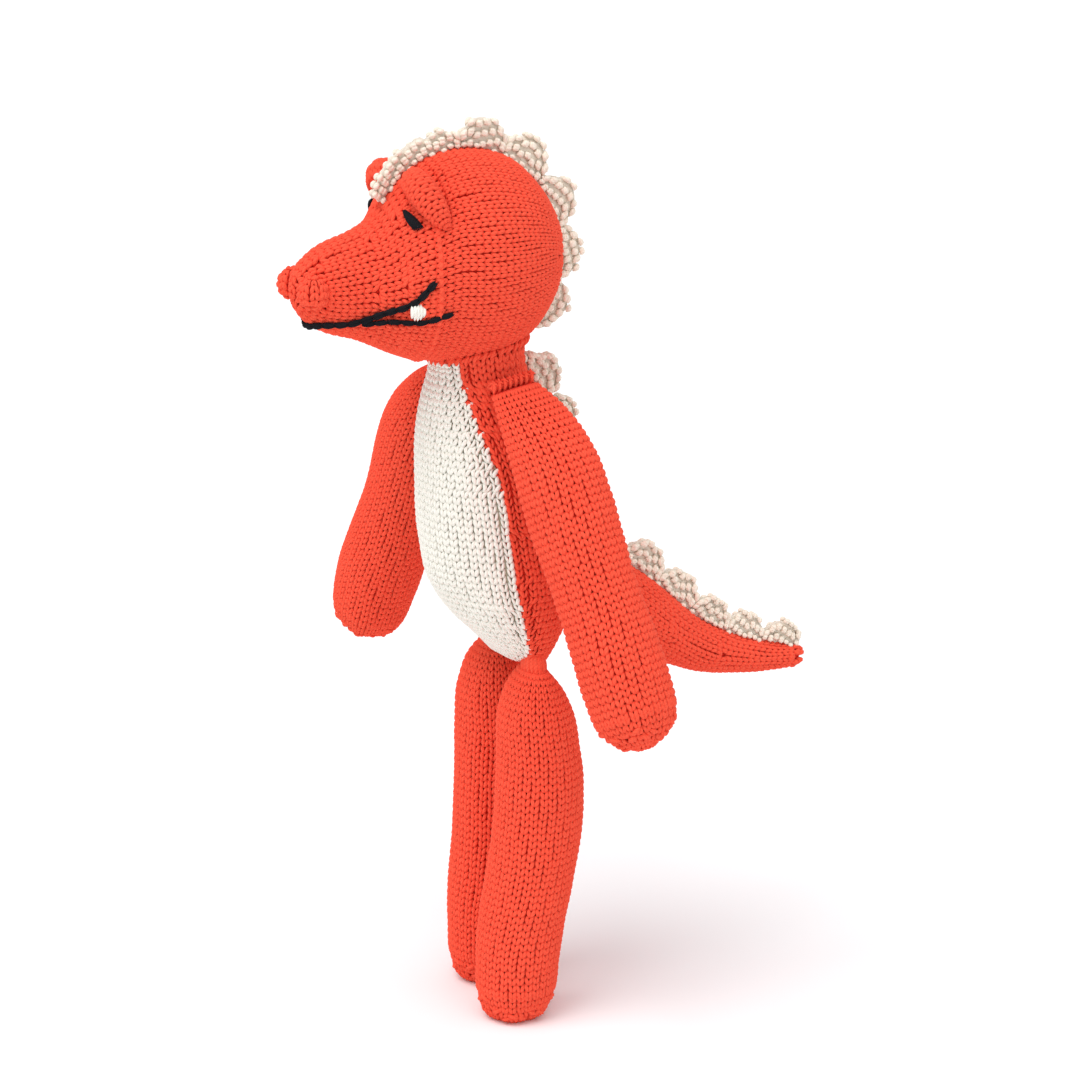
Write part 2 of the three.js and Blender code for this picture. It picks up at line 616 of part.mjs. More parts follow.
const TAIL_CREST_START = 14;
const tailWide = along([
  [0, TAIL_SEAM_RADIUS],
  [4, TAIL_ROOT_HALF_WIDTH * 0.8],
  [14, TAIL_ROOT_HALF_WIDTH],
  [TAIL_LENGTH * 0.4, TAIL_ROOT_HALF_WIDTH * 0.88],
  [TAIL_LENGTH * 0.72, TAIL_TIP_RADIUS * 1.5],
  [TAIL_LENGTH - 8, TAIL_TIP_RADIUS],
  [TAIL_LENGTH - 2.5, TAIL_TIP_RADIUS * 0.72],
  [TAIL_LENGTH, TAIL_TIP_RADIUS * 0.3],
]);
const tailTall = (back) => {
  const share = Math.min(back / TAIL_LENGTH, 1);
  return (TAIL_ROOT_HALF_HEIGHT / TAIL_ROOT_HALF_WIDTH) * (1 - share) + share;
};
const tailSag = along([
  [0, 0],
  [TAIL_LENGTH * 0.25, -TAIL_SAG * 0.44],
  [TAIL_LENGTH * 0.55, -TAIL_SAG * 0.94],
  [TAIL_LENGTH * 0.8, -TAIL_SAG * 1.04],
  [TAIL_LENGTH, -TAIL_SAG],
]);
// The tail's own frame: back along +Y from the tail seam, before it droops.
const tailPlace = (p) =>
  vector(p.x, SEW_YARN / 2 + TAIL_ROOM - p.z, p.y * tailTall(-p.z) + tailSag(-p.z));

function makeTail() {
  const L = TAIL_LENGTH;
  const levels = [L - 0.4, L - 2.5, L - 8, L * 0.83, L * 0.72, L * 0.56, L * 0.4, L * 0.25, 14, 8, 4, 0];
  const profile = limbProfile(tailWide, L, levels);
  const body = softBody(profile, tailPlace);
  const [first, last] = [TAIL_CREST_START, L - 3];
  const edge = (s) => {
    const back = first + s * (last - first);
    const top = tailPlace(vector(0, tailWide(back), -back));
    return new THREE.Vector2(top.y, top.z + FIT_GAP);
  };
  const out = (s) => {
    const run = edge(Math.min(s + 0.02, 1)).sub(edge(Math.max(s - 0.02, 0)));
    return new THREE.Vector2(-run.y, run.x).normalize();
  };
  const count = Math.round((last - first) / SCALLOP_LENGTH);
  const strip = solidOf(scallopedStrip(count, edge, out, (s) => SCALLOP_HEIGHT * (1.15 - 0.4 * s)));
  const grown = profile.map(([r, z]) => [r && r + FIT_GAP, z]);
  const tailSolid = solidOf(warped(turned([...grown, [0, 0]]), tailPlace));
  const tail = new THREE.Group();
  tail.add(
    piece("tail_cover", body.cover, CORAL_KNIT),
    piece("tail_filling", body.filling, FILLING),
    piece("tail_crest", geometryOf(strip.subtract(tailSolid)), CREST_KNIT),
  );
  return tail;
}

function makeTailRoot() {
  const root = new THREE.Group();
  const seamRadius = TAIL_SEAM_RADIUS - SEW_YARN / 2;
  const seam = new THREE.TorusGeometry(seamRadius, SEW_YARN / 2, 8, SIDES).rotateX(Math.PI / 2);
  root.add(piece("tail_seam", seam, CORAL_KNIT), makeTail());
  const level = TAIL_HEIGHT;
  const reach = torsoRadius(level) * torsoFlatness(level) + SEW_YARN / 2 + TAIL_ROOM;
  root.position.set(0, torsoLean(level) + reach, torsoBottom + level);
  root.rotation.x = -radians(TAIL_DROOP);
  return root;
}

// ---------------------------------------------------------------- the whole toy

function makeHead() {
  const ball = ballSolid(FIT_GAP);
  const headSolid = ball.add(snoutSolid(FIT_GAP));
  const head = new THREE.Group();
  head.position.copy(neckPivot);
  head.add(...makeBall(), ...makeSnout(ball), ...makeFace(headSolid), ...makeMouth(headSolid));
  head.add(makeHeadCrest(headSolid));
  return head;
}

const toy = new THREE.Group();
const neckSeam = new THREE.TorusGeometry(NECK_RADIUS - SEW_YARN / 2, SEW_YARN / 2, 8, SIDES);
toy.add(...makeTorso(), makeBackCrest());
toy.add(piece("neck_seam", neckSeam.translate(0, 0, neckSeamHeight), CORAL_KNIT));
toy.add(makeHead(), makeTailRoot());
for (const [side, word] of [[1, "left"], [-1, "right"]]) {
  toy.add(makeShoulder(side, word), makeHip(side, word));
}

// The origin is on the floor, under the middle of the toy's box.
const box = new THREE.Box3().setFromObject(toy, true);
const middle = box.getCenter(vector(0, 0, 0));
toy.position.set(-middle.x, -middle.y, -box.min.z);

export default toy;
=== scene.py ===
"""Hand-knitted stuffed dinosaur: every cover is laid stitch by stitch over its stuffed form.

Lengths in the making code are millimetres in the frame of the toy, whose left side is +X and
which looks along -Y. Meshes are handed over in metres.
"""
import json
import math
from functools import cache

import bmesh
import bpy
import numpy as np
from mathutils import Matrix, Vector


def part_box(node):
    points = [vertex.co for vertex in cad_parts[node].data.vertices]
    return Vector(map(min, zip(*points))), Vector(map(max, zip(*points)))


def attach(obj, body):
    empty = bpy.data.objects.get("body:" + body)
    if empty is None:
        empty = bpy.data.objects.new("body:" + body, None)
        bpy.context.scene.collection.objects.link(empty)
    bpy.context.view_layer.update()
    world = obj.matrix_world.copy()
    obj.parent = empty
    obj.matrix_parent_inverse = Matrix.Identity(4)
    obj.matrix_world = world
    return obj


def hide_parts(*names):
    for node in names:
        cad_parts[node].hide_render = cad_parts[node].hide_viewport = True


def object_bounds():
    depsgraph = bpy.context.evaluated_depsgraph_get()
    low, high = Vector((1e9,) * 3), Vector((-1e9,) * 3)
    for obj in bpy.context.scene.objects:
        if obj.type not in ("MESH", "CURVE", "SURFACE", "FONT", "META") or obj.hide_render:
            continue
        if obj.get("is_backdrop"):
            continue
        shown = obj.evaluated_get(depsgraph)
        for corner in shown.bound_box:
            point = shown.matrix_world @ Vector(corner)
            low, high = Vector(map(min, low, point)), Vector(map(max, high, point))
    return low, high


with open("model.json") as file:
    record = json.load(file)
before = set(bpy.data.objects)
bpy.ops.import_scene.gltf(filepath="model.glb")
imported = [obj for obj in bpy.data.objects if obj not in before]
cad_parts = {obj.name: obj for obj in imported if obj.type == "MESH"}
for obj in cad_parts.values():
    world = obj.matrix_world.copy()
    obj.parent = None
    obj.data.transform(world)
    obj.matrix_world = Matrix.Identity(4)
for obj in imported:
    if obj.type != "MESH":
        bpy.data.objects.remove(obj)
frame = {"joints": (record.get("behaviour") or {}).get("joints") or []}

CAD_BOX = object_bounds()

bl_info = {
    "name": "Knitted Dinosaur",
    "version": (1, 0, 0),
    "blender": (4, 5, 0),
    "location": "View3D > Sidebar > Dinosaur",
    "description": "Knits the covers, crest, face and seams of a stuffed dinosaur over its frame",
    "category": "Add Mesh",
}

MM = 0.001


# ---- places read from the frame


def box_mm(node):
    low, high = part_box(node)
    return np.array(low) / MM, np.array(high) / MM


def middle(node):
    low, high = box_mm(node)
    return (low + high) / 2


def joint_axis(name):
    return np.array(next(j for j in frame["joints"] if j["name"] == name)["axis"], float)


NECK = middle("neck_seam")
TORSO_BOTTOM = box_mm("back_panel")[0][2]
SIDES = {"left": 1, "right": -1}

# ---- sizes of the stuffed forms

SEW_YARN = 3.2
SEAM_GAP = 0.3
LIMB_TOP = SEW_YARN / 2 + SEAM_GAP  # from a seam's middle to the limb sewn to it
TORSO_HEIGHT = 124.0
TORSO_LEAN = 17.0
HEAD_SIZE = np.array([38.0, 42.5, 44.5])
HEAD_CENTRE = NECK + (0, -7, SEW_YARN / 2 + SEAM_GAP + HEAD_SIZE[2])
SNOUT_REACH = 75.0
SNOUT_DROP = 9.0
ARM_LENGTH = 160.0
ARM_BULGE = 11.0
LEG_LENGTH = 158.0
TAIL_LENGTH = 116.0
TAIL_DROOP = math.radians(10)
CREST_BAND = 4.0
SCALLOP_HEIGHT = 8.5
SCALLOP_LENGTH = 21.5


def smooth(stations):
    """A smooth value along a body from (place, value) stations."""
    x, y = np.array(stations, float).T
    slope = np.gradient(y, x)

    def value(at):
        at = np.clip(np.asarray(at, float), x[0], x[-1])
        i = np.clip(np.searchsorted(x, at) - 1, 0, len(x) - 2)
        run = x[i + 1] - x[i]
        t = (at - x[i]) / run
        a = (1 + 2 * t) * (1 - t) ** 2 * y[i] + t**2 * (3 - 2 * t) * y[i + 1]
        return a + run * (t * (1 - t) ** 2 * slope[i] - t**2 * (1 - t) * slope[i + 1])

    return value


def run_of(line):
    """The distance run along a line, at each of its points."""
    return np.r_[0, np.cumsum(np.linalg.norm(np.diff(line, axis=0), axis=1))]


def read_at(at, run, line):
    """The points of a line at the given runs."""
    return np.stack([np.interp(at, run, column) for column in line.T], -1)


def rounded(points, count=260):
    """A smooth line through points, as many even steps."""
    points = np.array(points, float)
    lengths = run_of(points)
    fine = np.linspace(0, lengths[-1], count * 2)
    line = np.stack([smooth(np.c_[lengths, column])(fine) for column in points.T], -1)
    run = run_of(line)
    return read_at(np.linspace(0, run[-1], count), run, line)


def stack(x, y, z):
    return np.stack(np.broadcast_arrays(x, y, z), -1).astype(float)


def angles(count):
    """Even angles all the way round."""
    return np.linspace(0, math.tau, count, endpoint=False)


def unit(v):
    return v / np.maximum(np.linalg.norm(v, axis=-1, keepdims=True), 1e-9)


# ---- the surface of a stuffed form


class Skin:
    """Points on rings, even round each ring and even from ring to ring."""

    STEP = 1.5
    AROUND = 144

    def __init__(self, rings, lumps=0.0, seed=0, closed=True):
        self.closed = closed
        if closed:
            rings = np.stack([self.even_ring(ring) for ring in rings])
        gap = np.linalg.norm(np.diff(rings, axis=0), axis=2).mean(axis=1)
        run = np.r_[0, np.cumsum(gap)]
        self.length = run[-1]
        at = np.linspace(0, self.length, max(int(self.length / self.STEP), 8) + 1)
        self.step = at[1]
        i = np.clip(np.searchsorted(run, at) - 1, 0, len(run) - 2)
        share = ((at - run[i]) / np.maximum(run[i + 1] - run[i], 1e-9))[:, None, None]
        self.points = rings[i] * (1 - share) + rings[i + 1] * share
        self.normals = self.facing()
        if lumps:
            pushed = lumps * stuffing(self.points, seed)[..., None]
            self.points = self.points + self.normals * pushed
            self.normals = self.facing()
        shut = np.concatenate([self.points, self.points[:, :1]], 1) if closed else self.points
        self.girth = np.linalg.norm(np.diff(shut, axis=1), axis=2).sum(axis=1)

    def even_ring(self, ring):
        shut = np.vstack([ring, ring[:1]])
        run = run_of(shut)
        return read_at(np.linspace(0, run[-1], self.AROUND, endpoint=False), run, shut)

    def facing(self):
        p = self.points
        if self.closed:
            across = np.roll(p, -1, axis=1) - np.roll(p, 1, axis=1)
        else:
            across = np.gradient(p, axis=1)
        n = np.cross(across, np.gradient(p, axis=0))
        out = p - p.mean(axis=1 if self.closed else (0, 1), keepdims=True)
        n *= np.sign((n * out).sum() or 1)
        for row, near in ((0, 1), (-1, -2)):
            if np.linalg.norm(p[row] - p[row].mean(axis=0), axis=1).max() < 0.5:
                n[row] = n[near].mean(axis=0)
        return unit(n)

    def girth_at(self, v):
        return np.maximum(np.interp(v, np.arange(len(self.girth)) * self.step, self.girth), 1.0)

    def at(self, u, v, lift=0.0):
        """(point, normal) at a share of the way round, a distance along and a height above."""
        count = self.points.shape[1]
        if self.closed:
            across = (u % 1) * count
            i = np.floor(across).astype(int) % count
            j = (i + 1) % count
        else:
            across = np.clip(u, 0, 1) * (count - 1)
            i = np.clip(np.floor(across).astype(int), 0, count - 2)
            j = i + 1
        a = (across - np.floor(across) if self.closed else across - i)[..., None]
        up = np.clip(v / self.step, 0, len(self.points) - 1)
        k = np.clip(np.floor(up).astype(int), 0, len(self.points) - 2)
        b = (up - k)[..., None]
        found = []
        for grid in (self.points, self.normals):
            low = grid[k, i] * (1 - a) + grid[k, j] * a
            high = grid[k + 1, i] * (1 - a) + grid[k + 1, j] * a
            found.append(low * (1 - b) + high * b)
        normal = unit(found[1])
        return found[0] + normal * np.asarray(lift, float)[..., None], normal

    def sheet(self, depth, rows, around, span):
        """A grid of (points, normals) at a depth under the surface, over a span of its length."""
        v = np.linspace(self.length * span[0], self.length * span[1], rows)[:, None] + np.zeros(around)
        u = np.linspace(0, 1, around, endpoint=False) + np.zeros((rows, 1))
        return self.at(u, v, -depth)


def stuffing(points, seed):
    """Soft lumps of the stuffing under the fabric, between -1 and 1."""
    random = np.random.default_rng(seed)
    total = np.zeros(points.shape[:-1])
    for wave in (44.0, 31.0, 23.0, 17.0):
        for _ in range(2):
            way = unit(random.normal(size=3)) * math.tau / wave
            total += np.sin(points @ way + random.uniform(0, math.tau)) * wave / 115
    return total


def turned(profile, place, count=180, start=-math.pi / 2):
    """Rings of a body of revolution from a (radius, height) line, each point placed."""
    line = rounded(profile)
    angle = start + angles(count)
    r, h = line[:, :1], line[:, 1:]
    return place(r * np.cos(angle), r * np.sin(angle), h + 0 * angle)


# ---- yarn


@cache
def strand_form(segments, rings):
    """The plain form of one strand: each corner's ring, its angle round the yarn, and the faces."""
    bm = bmesh.new()
    bmesh.ops.create_uvsphere(bm, u_segments=segments, v_segments=rings, radius=1)
    bm.verts.index_update()
    co = np.array([v.co for v in bm.verts])
    level = np.rint(np.arccos(np.clip(co[:, 2], -1, 1)) / math.pi * rings).astype(int)
    angle = np.arctan2(co[:, 1], co[:, 0])
    round_uv = []
    faces = []
    for face in bm.faces:
        centre = math.atan2(*face.calc_center_median().yx)
        faces.append([v.index for v in face.verts])
        for i in faces[-1]:
            off = 0 if level[i] in (0, rings) else (angle[i] - centre + math.pi) % math.tau - math.pi
            round_uv.append(((centre + off) / math.tau + 0.5, level[i] / rings))
    bm.free()
    return level, angle, faces, np.array(round_uv)


YARNS_IN_CLOTH = 40  # threads across the inner cloth


class Knitting:
    """Collects strands and backing cloth, and makes them one mesh."""

    BACKING_SHARE = 0.25  # of the map that the backing cloth takes
    FLATTENED = 0.9  # how thick a strand is across the cloth, for its width
    FULLNESS = 0.7  # the lower, the blunter the ends of a strand
    CLOTH_TONE = 0.5

    def __init__(self, seed):
        self.random = np.random.default_rng(seed)
        self.parts = []

    def strands(self, centres, normals, radius, segments=6, taper=True):
        """Lays strands along centre lines of shape (strands, rings + 1, 3)."""
        count, rings = centres.shape[0], centres.shape[1] - 1
        level, angle, faces, uv = strand_form(segments, rings)
        way = unit(np.gradient(centres, axis=1))
        side = unit(np.cross(way, normals))
        up = np.cross(side, way)
        share = np.r_[0, np.ones(rings - 1), 0]
        if taper:
            share = np.sin(np.linspace(0, math.pi, rings + 1)) ** self.FULLNESS
        r = (np.asarray(radius, float).reshape(-1, 1) * share)[:, level, None]
        turn = angle[None, :, None]
        outwards = np.cos(turn) * side[:, level] + np.sin(turn) * self.FLATTENED * up[:, level]
        tone = np.repeat(self.random.uniform(0, 1, count), len(level))
        length = np.linalg.norm(np.diff(centres, axis=1), axis=2).sum(axis=1)
        along = uv[:, 1] * length[:, None]
        yarn = np.stack([uv[:, 0] + 0 * along, along], -1)
        loops = np.concatenate(faces) + (np.arange(count) * len(level))[:, None]
        sizes = np.tile([len(face) for face in faces], count)
        self.parts.append((centres[:, level] + r * outwards, loops, sizes, uv, yarn, 0, tone))

    def cloth(self, grid, look=1):
        """Adds a closed sheet whose rows are rings."""
        bm = wrapped(grid)
        layer = bm.loops.layers.uv.active
        corners = [corner for face in bm.faces for corner in face.loops]
        loops = np.array([corner.vert.index for corner in corners])
        uv = np.array([corner[layer].uv[:] for corner in corners])
        verts = np.array([v.co for v in bm.verts])
        sizes = np.array([len(face.verts) for face in bm.faces])
        bm.free()
        tone = np.full(len(verts), self.CLOTH_TONE)
        self.parts.append((verts, loops, sizes, uv, uv * YARNS_IN_CLOTH, look, tone))

    def placed(self):
        """The parts one after another, each strand and sheet with its own place on the map."""
        strands = sum(len(part[0]) for part in self.parts if part[0].ndim == 3)
        sheets = sum(part[0].ndim == 2 for part in self.parts)
        low = self.BACKING_SHARE if sheets else 0.0
        band = low / max(sheets, 1)
        columns = max(math.ceil(math.sqrt(strands / (1 - low))), 1)
        size = np.array([1 / columns, (1 - low) / max(math.ceil(strands / columns), 1)])
        cell, sheet, start = 0, 0, 0
        for verts, loops, sizes, uv, yarn, look, tone in self.parts:
            if verts.ndim == 3:
                ids = cell + np.arange(len(verts))
                corner = np.stack([ids % columns, ids // columns], -1)[:, None]
                uv = (corner + 0.06 + 0.88 * uv) * size + (0, low)
                cell += len(verts)
            else:
                uv = uv * (0.98, band * 0.92) + (0.01, (sheet + 0.04) * band)
                sheet += 1
            looks = np.full(len(sizes), look)
            flat = verts.reshape(-1, 3)
            yield flat, loops.ravel() + start, sizes, uv.reshape(-1, 2), yarn.reshape(-1, 2), looks, tone
            start += len(flat)

    def object(self, name, looks):
        columns = (np.concatenate(column) for column in zip(*self.placed()))
        verts, loops, sizes, uv, yarn, looks_of, tone = columns
        mesh = bpy.data.meshes.new(name)
        mesh.vertices.add(len(verts))
        mesh.vertices.foreach_set("co", (verts * MM).ravel())
        mesh.loops.add(len(loops))
        mesh.loops.foreach_set("vertex_index", loops.astype(np.int32))
        mesh.polygons.add(len(sizes))
        mesh.polygons.foreach_set("loop_start", np.r_[0, np.cumsum(sizes)[:-1]].astype(np.int32))
        mesh.polygons.foreach_set("material_index", looks_of.astype(np.int32))
        mesh.polygons.foreach_set("use_smooth", np.ones(len(sizes), bool))
        mesh.update(calc_edges=True)
        for layer, places in (("OFBake", uv), ("YarnUV", yarn)):
            mesh.uv_layers.new(name=layer).data.foreach_set("uv", places.ravel())
        tones = mesh.attributes.new("stitch_tone", "FLOAT", "POINT")
        tones.data.foreach_set("value", tone.astype(np.float32))
        mesh.validate()
        for look in looks:
            mesh.materials.append(look)
        made = bpy.data.objects.new(name, mesh)
        bpy.context.scene.collection.objects.link(made)
        return made

    def piece(self, name, looks, body, slot, node, fill=None):
        """Makes the mesh and hands it over in place of its CAD node."""
        return finished(self.object(name, looks), body, [node])


def wrapped(grid):
    """A sheet laid through a grid of points, its seam and poles closed, facing outwards."""
    grid = np.concatenate([grid, grid[:, :1]], axis=1)
    rows, columns = grid.shape[0] - 1, grid.shape[1] - 1
    bm = bmesh.new()
    bm.loops.layers.uv.new("flat")
    bmesh.ops.create_grid(bm, x_segments=columns, y_segments=rows, size=0.5, calc_uvs=True)
    for vert in bm.verts:
        vert.co = grid[round((vert.co.y + 0.5) * rows), round((vert.co.x + 0.5) * columns)]
    bmesh.ops.remove_doubles(bm, verts=bm.verts, dist=0.02)
    bmesh.ops.dissolve_degenerate(bm, edges=bm.edges, dist=0.001)
    bmesh.ops.recalc_face_normals(bm, faces=bm.faces)
    bm.verts.index_update()
    return bm


# ---- stitches


class Gauge:
    """The size of a stitch and its yarn, from the settings."""

    def __init__(self, settings):
        self.pitch = settings.stitch_width / MM
        self.row = settings.row_height / MM
        self.yarn = settings.yarn_thickness / MM / 2
        self.lumps = settings.lumpiness / MM


def even_gores(skin, count, offset=0.0):
    half = lambda v: skin.girth_at(v) / (2 * count)
    return [((g + offset) / count, half) for g in range(count)]


# One leg of a stitch: how far out of the stitch's middle, along the row, and above the cloth.
LEG_OUT = np.array([0.02, 0.10, 0.19, 0.28, 0.35, 0.39])
LEG_ALONG = np.array([-0.45, -0.15, 0.17, 0.5, 0.83, 1.12])
LEG_SINK = np.array([0.2, 0.0, 0.0, 0.12, 0.4, 0.8])  # its outer end lies deeper
LEG_MIDDLE = 0.35  # of the leg, along the row
ARCH = np.sin(np.linspace(0, math.pi, 6))[None]  # how a short strand rises between its ends
YARN_STRETCH = (0.62, 1.3)  # how thin and thick yarn gets in a narrow or a wide stitch
LADDER_EDGE, LADDER_NEXT = 0.64, 0.72  # of the yarn, in the loose legs beside a seam
BACKING_ROW = 3.2
BACKING_THICKNESS = 1.0
POLE_GIRTH = 8  # cloth as narrow as this is drawn in to a point


def lay_stitches(knitting, skin, gores, gauge, first, last, up=1, most=99, fewest=0, loose=False):
    """Lays stocking stitch in each gore, whose columns drop out as it narrows.

    The knitting goes up or down the skin, and loose edges leave a ladder beside a seam.
    """
    rows = np.arange(first + gauge.row / 2, last, gauge.row)
    for centre, half in gores:
        columns = np.rint(half(rows) / gauge.pitch - 0.5).astype(int)
        columns = np.clip(columns, fewest(rows) if callable(fewest) else fewest, most)
        k = np.repeat(np.arange(len(rows)), 2 * columns + 1)
        j = np.concatenate([np.arange(-reach, reach + 1.0) for reach in columns])
        stitch = lambda v: half(v) / (np.interp(v, rows, columns) + 0.5)
        wander = knitting.random.normal(0, 0.02, (len(k), 1))
        for side in (-1, 1):
            v = rows[k][:, None] + (up * (LEG_ALONG - LEG_MIDDLE) + wander) * gauge.row
            wide = stitch(v)
            waver = 0.11 * np.sin(v / 9.5 + 40 * centre) + 0.05 * np.sin(v / 3.7 + 1.9 * j[:, None])
            out = side * LEG_OUT + waver + knitting.random.normal(0, 0.015, (len(k), 1))
            u = centre + (j[:, None] + out) * wide / skin.girth_at(v)
            thick = gauge.yarn * np.clip(wide.mean(axis=1) / gauge.pitch, *YARN_STRETCH)
            if loose:
                thick[(np.abs(j) == columns[k]) & (j * side < 0)] *= LADDER_EDGE
                thick[(np.abs(j) == columns[k] - 1) & (j * side > 0)] *= LADDER_NEXT
            thick = thick * knitting.random.normal(1, 0.03, len(k))
            points, normals = skin.at(u, v, gauge.yarn * (0.85 * ARCH - 0.95 - LEG_SINK))
            knitting.strands(points, normals, thick)


def lay_bumps(knitting, skin, v, count, gauge, lift, offset=0.0, size=1.0):
    """A ring of purl bumps, which lie across the columns."""
    u = (np.arange(count)[:, None] + offset + np.linspace(-0.62, 0.62, 6)) / count
    points, normals = skin.at(u, np.full_like(u, v), lift + ARCH * 0.5)
    knitting.strands(points, normals, gauge.yarn * 1.05 * size)


def lay_slubs(knitting, skin, gauge, first, last, count):
    """Slanting strands thrown across the columns where the end of a limb is decreased."""
    v = knitting.random.uniform(first, last, (count, 1)) + np.linspace(-0.5, 0.5, 6) * gauge.row
    across = np.linspace(-0.7, 0.7, 6) * knitting.random.choice((-1, 1), (count, 1)) * gauge.pitch
    u = np.arange(count)[:, None] + knitting.random.uniform(-0.3, 0.3, (count, 1))
    u = u / count + across / skin.girth_at(v)
    points, normals = skin.at(u, v, 0.55 * ARCH - 0.1 + 0 * u)
    knitting.strands(points, normals, gauge.yarn * 1.1)


def backing(skin, gauge, rows=None, depth=1.5, around=48, span=(0.0, 1.0)):
    """The inner face of a cover: two layers joined at its rim and its poles."""
    rows = rows or max(int(skin.length * (span[1] - span[0]) / BACKING_ROW), 4)
    outer = skin.sheet(gauge.yarn * depth, rows, around, span)[0]
    inner = skin.sheet(gauge.yarn * depth + BACKING_THICKNESS, rows, around, span)[0]
    for row, end in zip((0, -1), span):
        if skin.girth_at(skin.length * end) < POLE_GIRTH:
            for sheet in (outer, inner):
                sheet[row] = sheet[row].mean(axis=0)
    return np.concatenate([outer, inner[::-1], outer[:1]])


# ---- forms of the toy


def torso_lean(z):
    return TORSO_LEAN * (1 - z / TORSO_HEIGHT)


COLLAR = 7.5  # of the torso's profile, drawn up to the underside of the head

torso_half_width = smooth(
    [(0, 25), (4, 28), (12, 30.2), (28, 32.4), (52, 33), (78, 32), (94, 29.9), (110, 25.5), (124, 20.5)]
)
torso_flatness = smooth([(0, 0.4), (8, 0.6), (16, 0.8), (32, 1.02), (50, 1.04), (94, 1), (124, 1)])
belly_edge = smooth([(-5, 4), (18, 6.5), (40, 9), (80, 9), (109, 14), (130, 14)])


def torso_place(x, y, z):
    place = stack(x, y * torso_flatness(z) + torso_lean(z), z + TORSO_BOTTOM) + (NECK[0], NECK[1], 0)
    rim = TORSO_BOTTOM + TORSO_HEIGHT
    above = np.clip((z - TORSO_HEIGHT) / COLLAR, 0, 1)
    reach = np.maximum(under_head(place[..., 0], place[..., 1]) - 0.6 - rim, 2)
    place[..., 2] = np.where(above > 0, rim + above * reach, place[..., 2])
    return place


def torso_skin(gauge):
    levels = [0, 4, 10, 18, 28, 42, 58, 74, 88, 100, 112, 124]
    profile = [(0, -1.2)] + [(float(torso_half_width(z)), z - (0.6 if z == 0 else 0)) for z in levels]
    profile += [(20.0, 127.5), (20.4, TORSO_HEIGHT + COLLAR)]
    return Skin(turned(profile, torso_place), gauge.lumps, seed=11)


snout_half_width = smooth([(0, 0), (0.7, 5.2), (2.5, 9), (9, 14), (28, 18.1), (49, 31), (75, 31)])
snout_half_height = smooth([(0, 0), (0.7, 5), (2.5, 8.75), (9, 15), (28, 22.5), (49, 33), (75, 33)])
snout_rise = smooth([(0, -1), (28, 0), (75, 2)])


def on_snout(back, angle, lift=0.0):
    return HEAD_CENTRE + stack(
        (snout_half_width(back) + lift) * np.cos(angle),
        back - SNOUT_REACH,
        (snout_half_height(back) + lift) * np.sin(angle) - SNOUT_DROP + snout_rise(back),
    )


def on_ball(forward, sideways, lift=0.0):
    f, s = np.radians(forward), np.radians(sideways)
    size = HEAD_SIZE + lift
    return HEAD_CENTRE + stack(
        size[0] * np.sin(s), -size[1] * np.sin(f) * np.cos(s), size[2] * np.cos(f) * np.cos(s)
    )


CREASE_WIDTH = 3.2  # the fold behind each brow
CREASE_DEPTH = 1.5


def reach_of_ellipse(angle, centre, half_width, half_height, middle_height):
    """How far a ray from a point on the middle plane goes before it leaves an ellipse."""
    x, z = np.cos(angle) / half_width, np.sin(angle) / half_height
    off = (centre - middle_height) / half_height
    a, b, c = x**2 + z**2, off * z, off**2 - 1
    root = b**2 - a * c
    return np.where(root > 0, (-b + np.sqrt(np.maximum(root, 0))) / a, 0)


def head_skin(gauge):
    """Snout and head as one surface of rings, from the tip of the snout to the head's rear pole."""
    share = np.linspace(0, 1, 300)[:, None]
    y = -SNOUT_REACH + (SNOUT_REACH + HEAD_SIZE[1]) * (0.5 - 0.5 * np.cos(math.pi * share))
    turn = math.pi / 2 + angles(180)[None]
    back = np.clip(y + SNOUT_REACH, 0, SNOUT_REACH)
    axis = -SNOUT_DROP + snout_rise(back)
    centre = axis * np.clip((-4 - y) / 38, 0, 1)
    half_width = np.maximum(snout_half_width(back), 0.01)
    half_height = np.maximum(snout_half_height(back), 0.01)
    snout = reach_of_ellipse(turn, centre, half_width, half_height, axis)
    snout = snout * (y < 6 + 0 * turn)
    ball = np.sqrt(np.clip(1 - (y / HEAD_SIZE[1]) ** 2, 1e-6, 1))
    ball = reach_of_ellipse(turn, centre, HEAD_SIZE[0] * ball, HEAD_SIZE[2] * ball, 0.0)
    ball = ball * (y > -HEAD_SIZE[1] + 0 * turn)
    reach = np.maximum(snout, ball)
    soft = reach.copy()
    for _ in range(14):
        soft[1:-1] = (soft[:-2] + 2 * soft[1:-1] + soft[2:]) / 4
        soft = (np.roll(soft, 1, axis=1) + 2 * soft + np.roll(soft, -1, axis=1)) / 4
    fade = np.clip(np.minimum(y + SNOUT_REACH - 8, HEAD_SIZE[1] - 6 - y) / 8, 0, 1)
    reach = reach * (1 - fade) + soft * fade
    rings = stack(reach * np.cos(turn), y + 0 * turn, centre + reach * np.sin(turn)) + HEAD_CENTRE
    for side in (1, -1):
        for t in np.linspace(0, 1, 7):
            spot = flip(on_ball(30 + 12 * t, 18 + 28 * t), side)
            near = np.exp(-((rings - spot) ** 2).sum(axis=-1) / (2 * CREASE_WIDTH**2))
            rings = rings - unit(spot - HEAD_CENTRE) * (near * CREASE_DEPTH)[..., None]
    return Skin(rings, gauge.lumps * 0.8, seed=5)


def place_along(skin, y):
    """The distance along the head's surface at which its rings reach a place front to back."""
    depth = skin.points[:, :, 1].mean(axis=1) - HEAD_CENTRE[1]
    return float(np.interp(y, depth, np.arange(len(depth)) * skin.step))


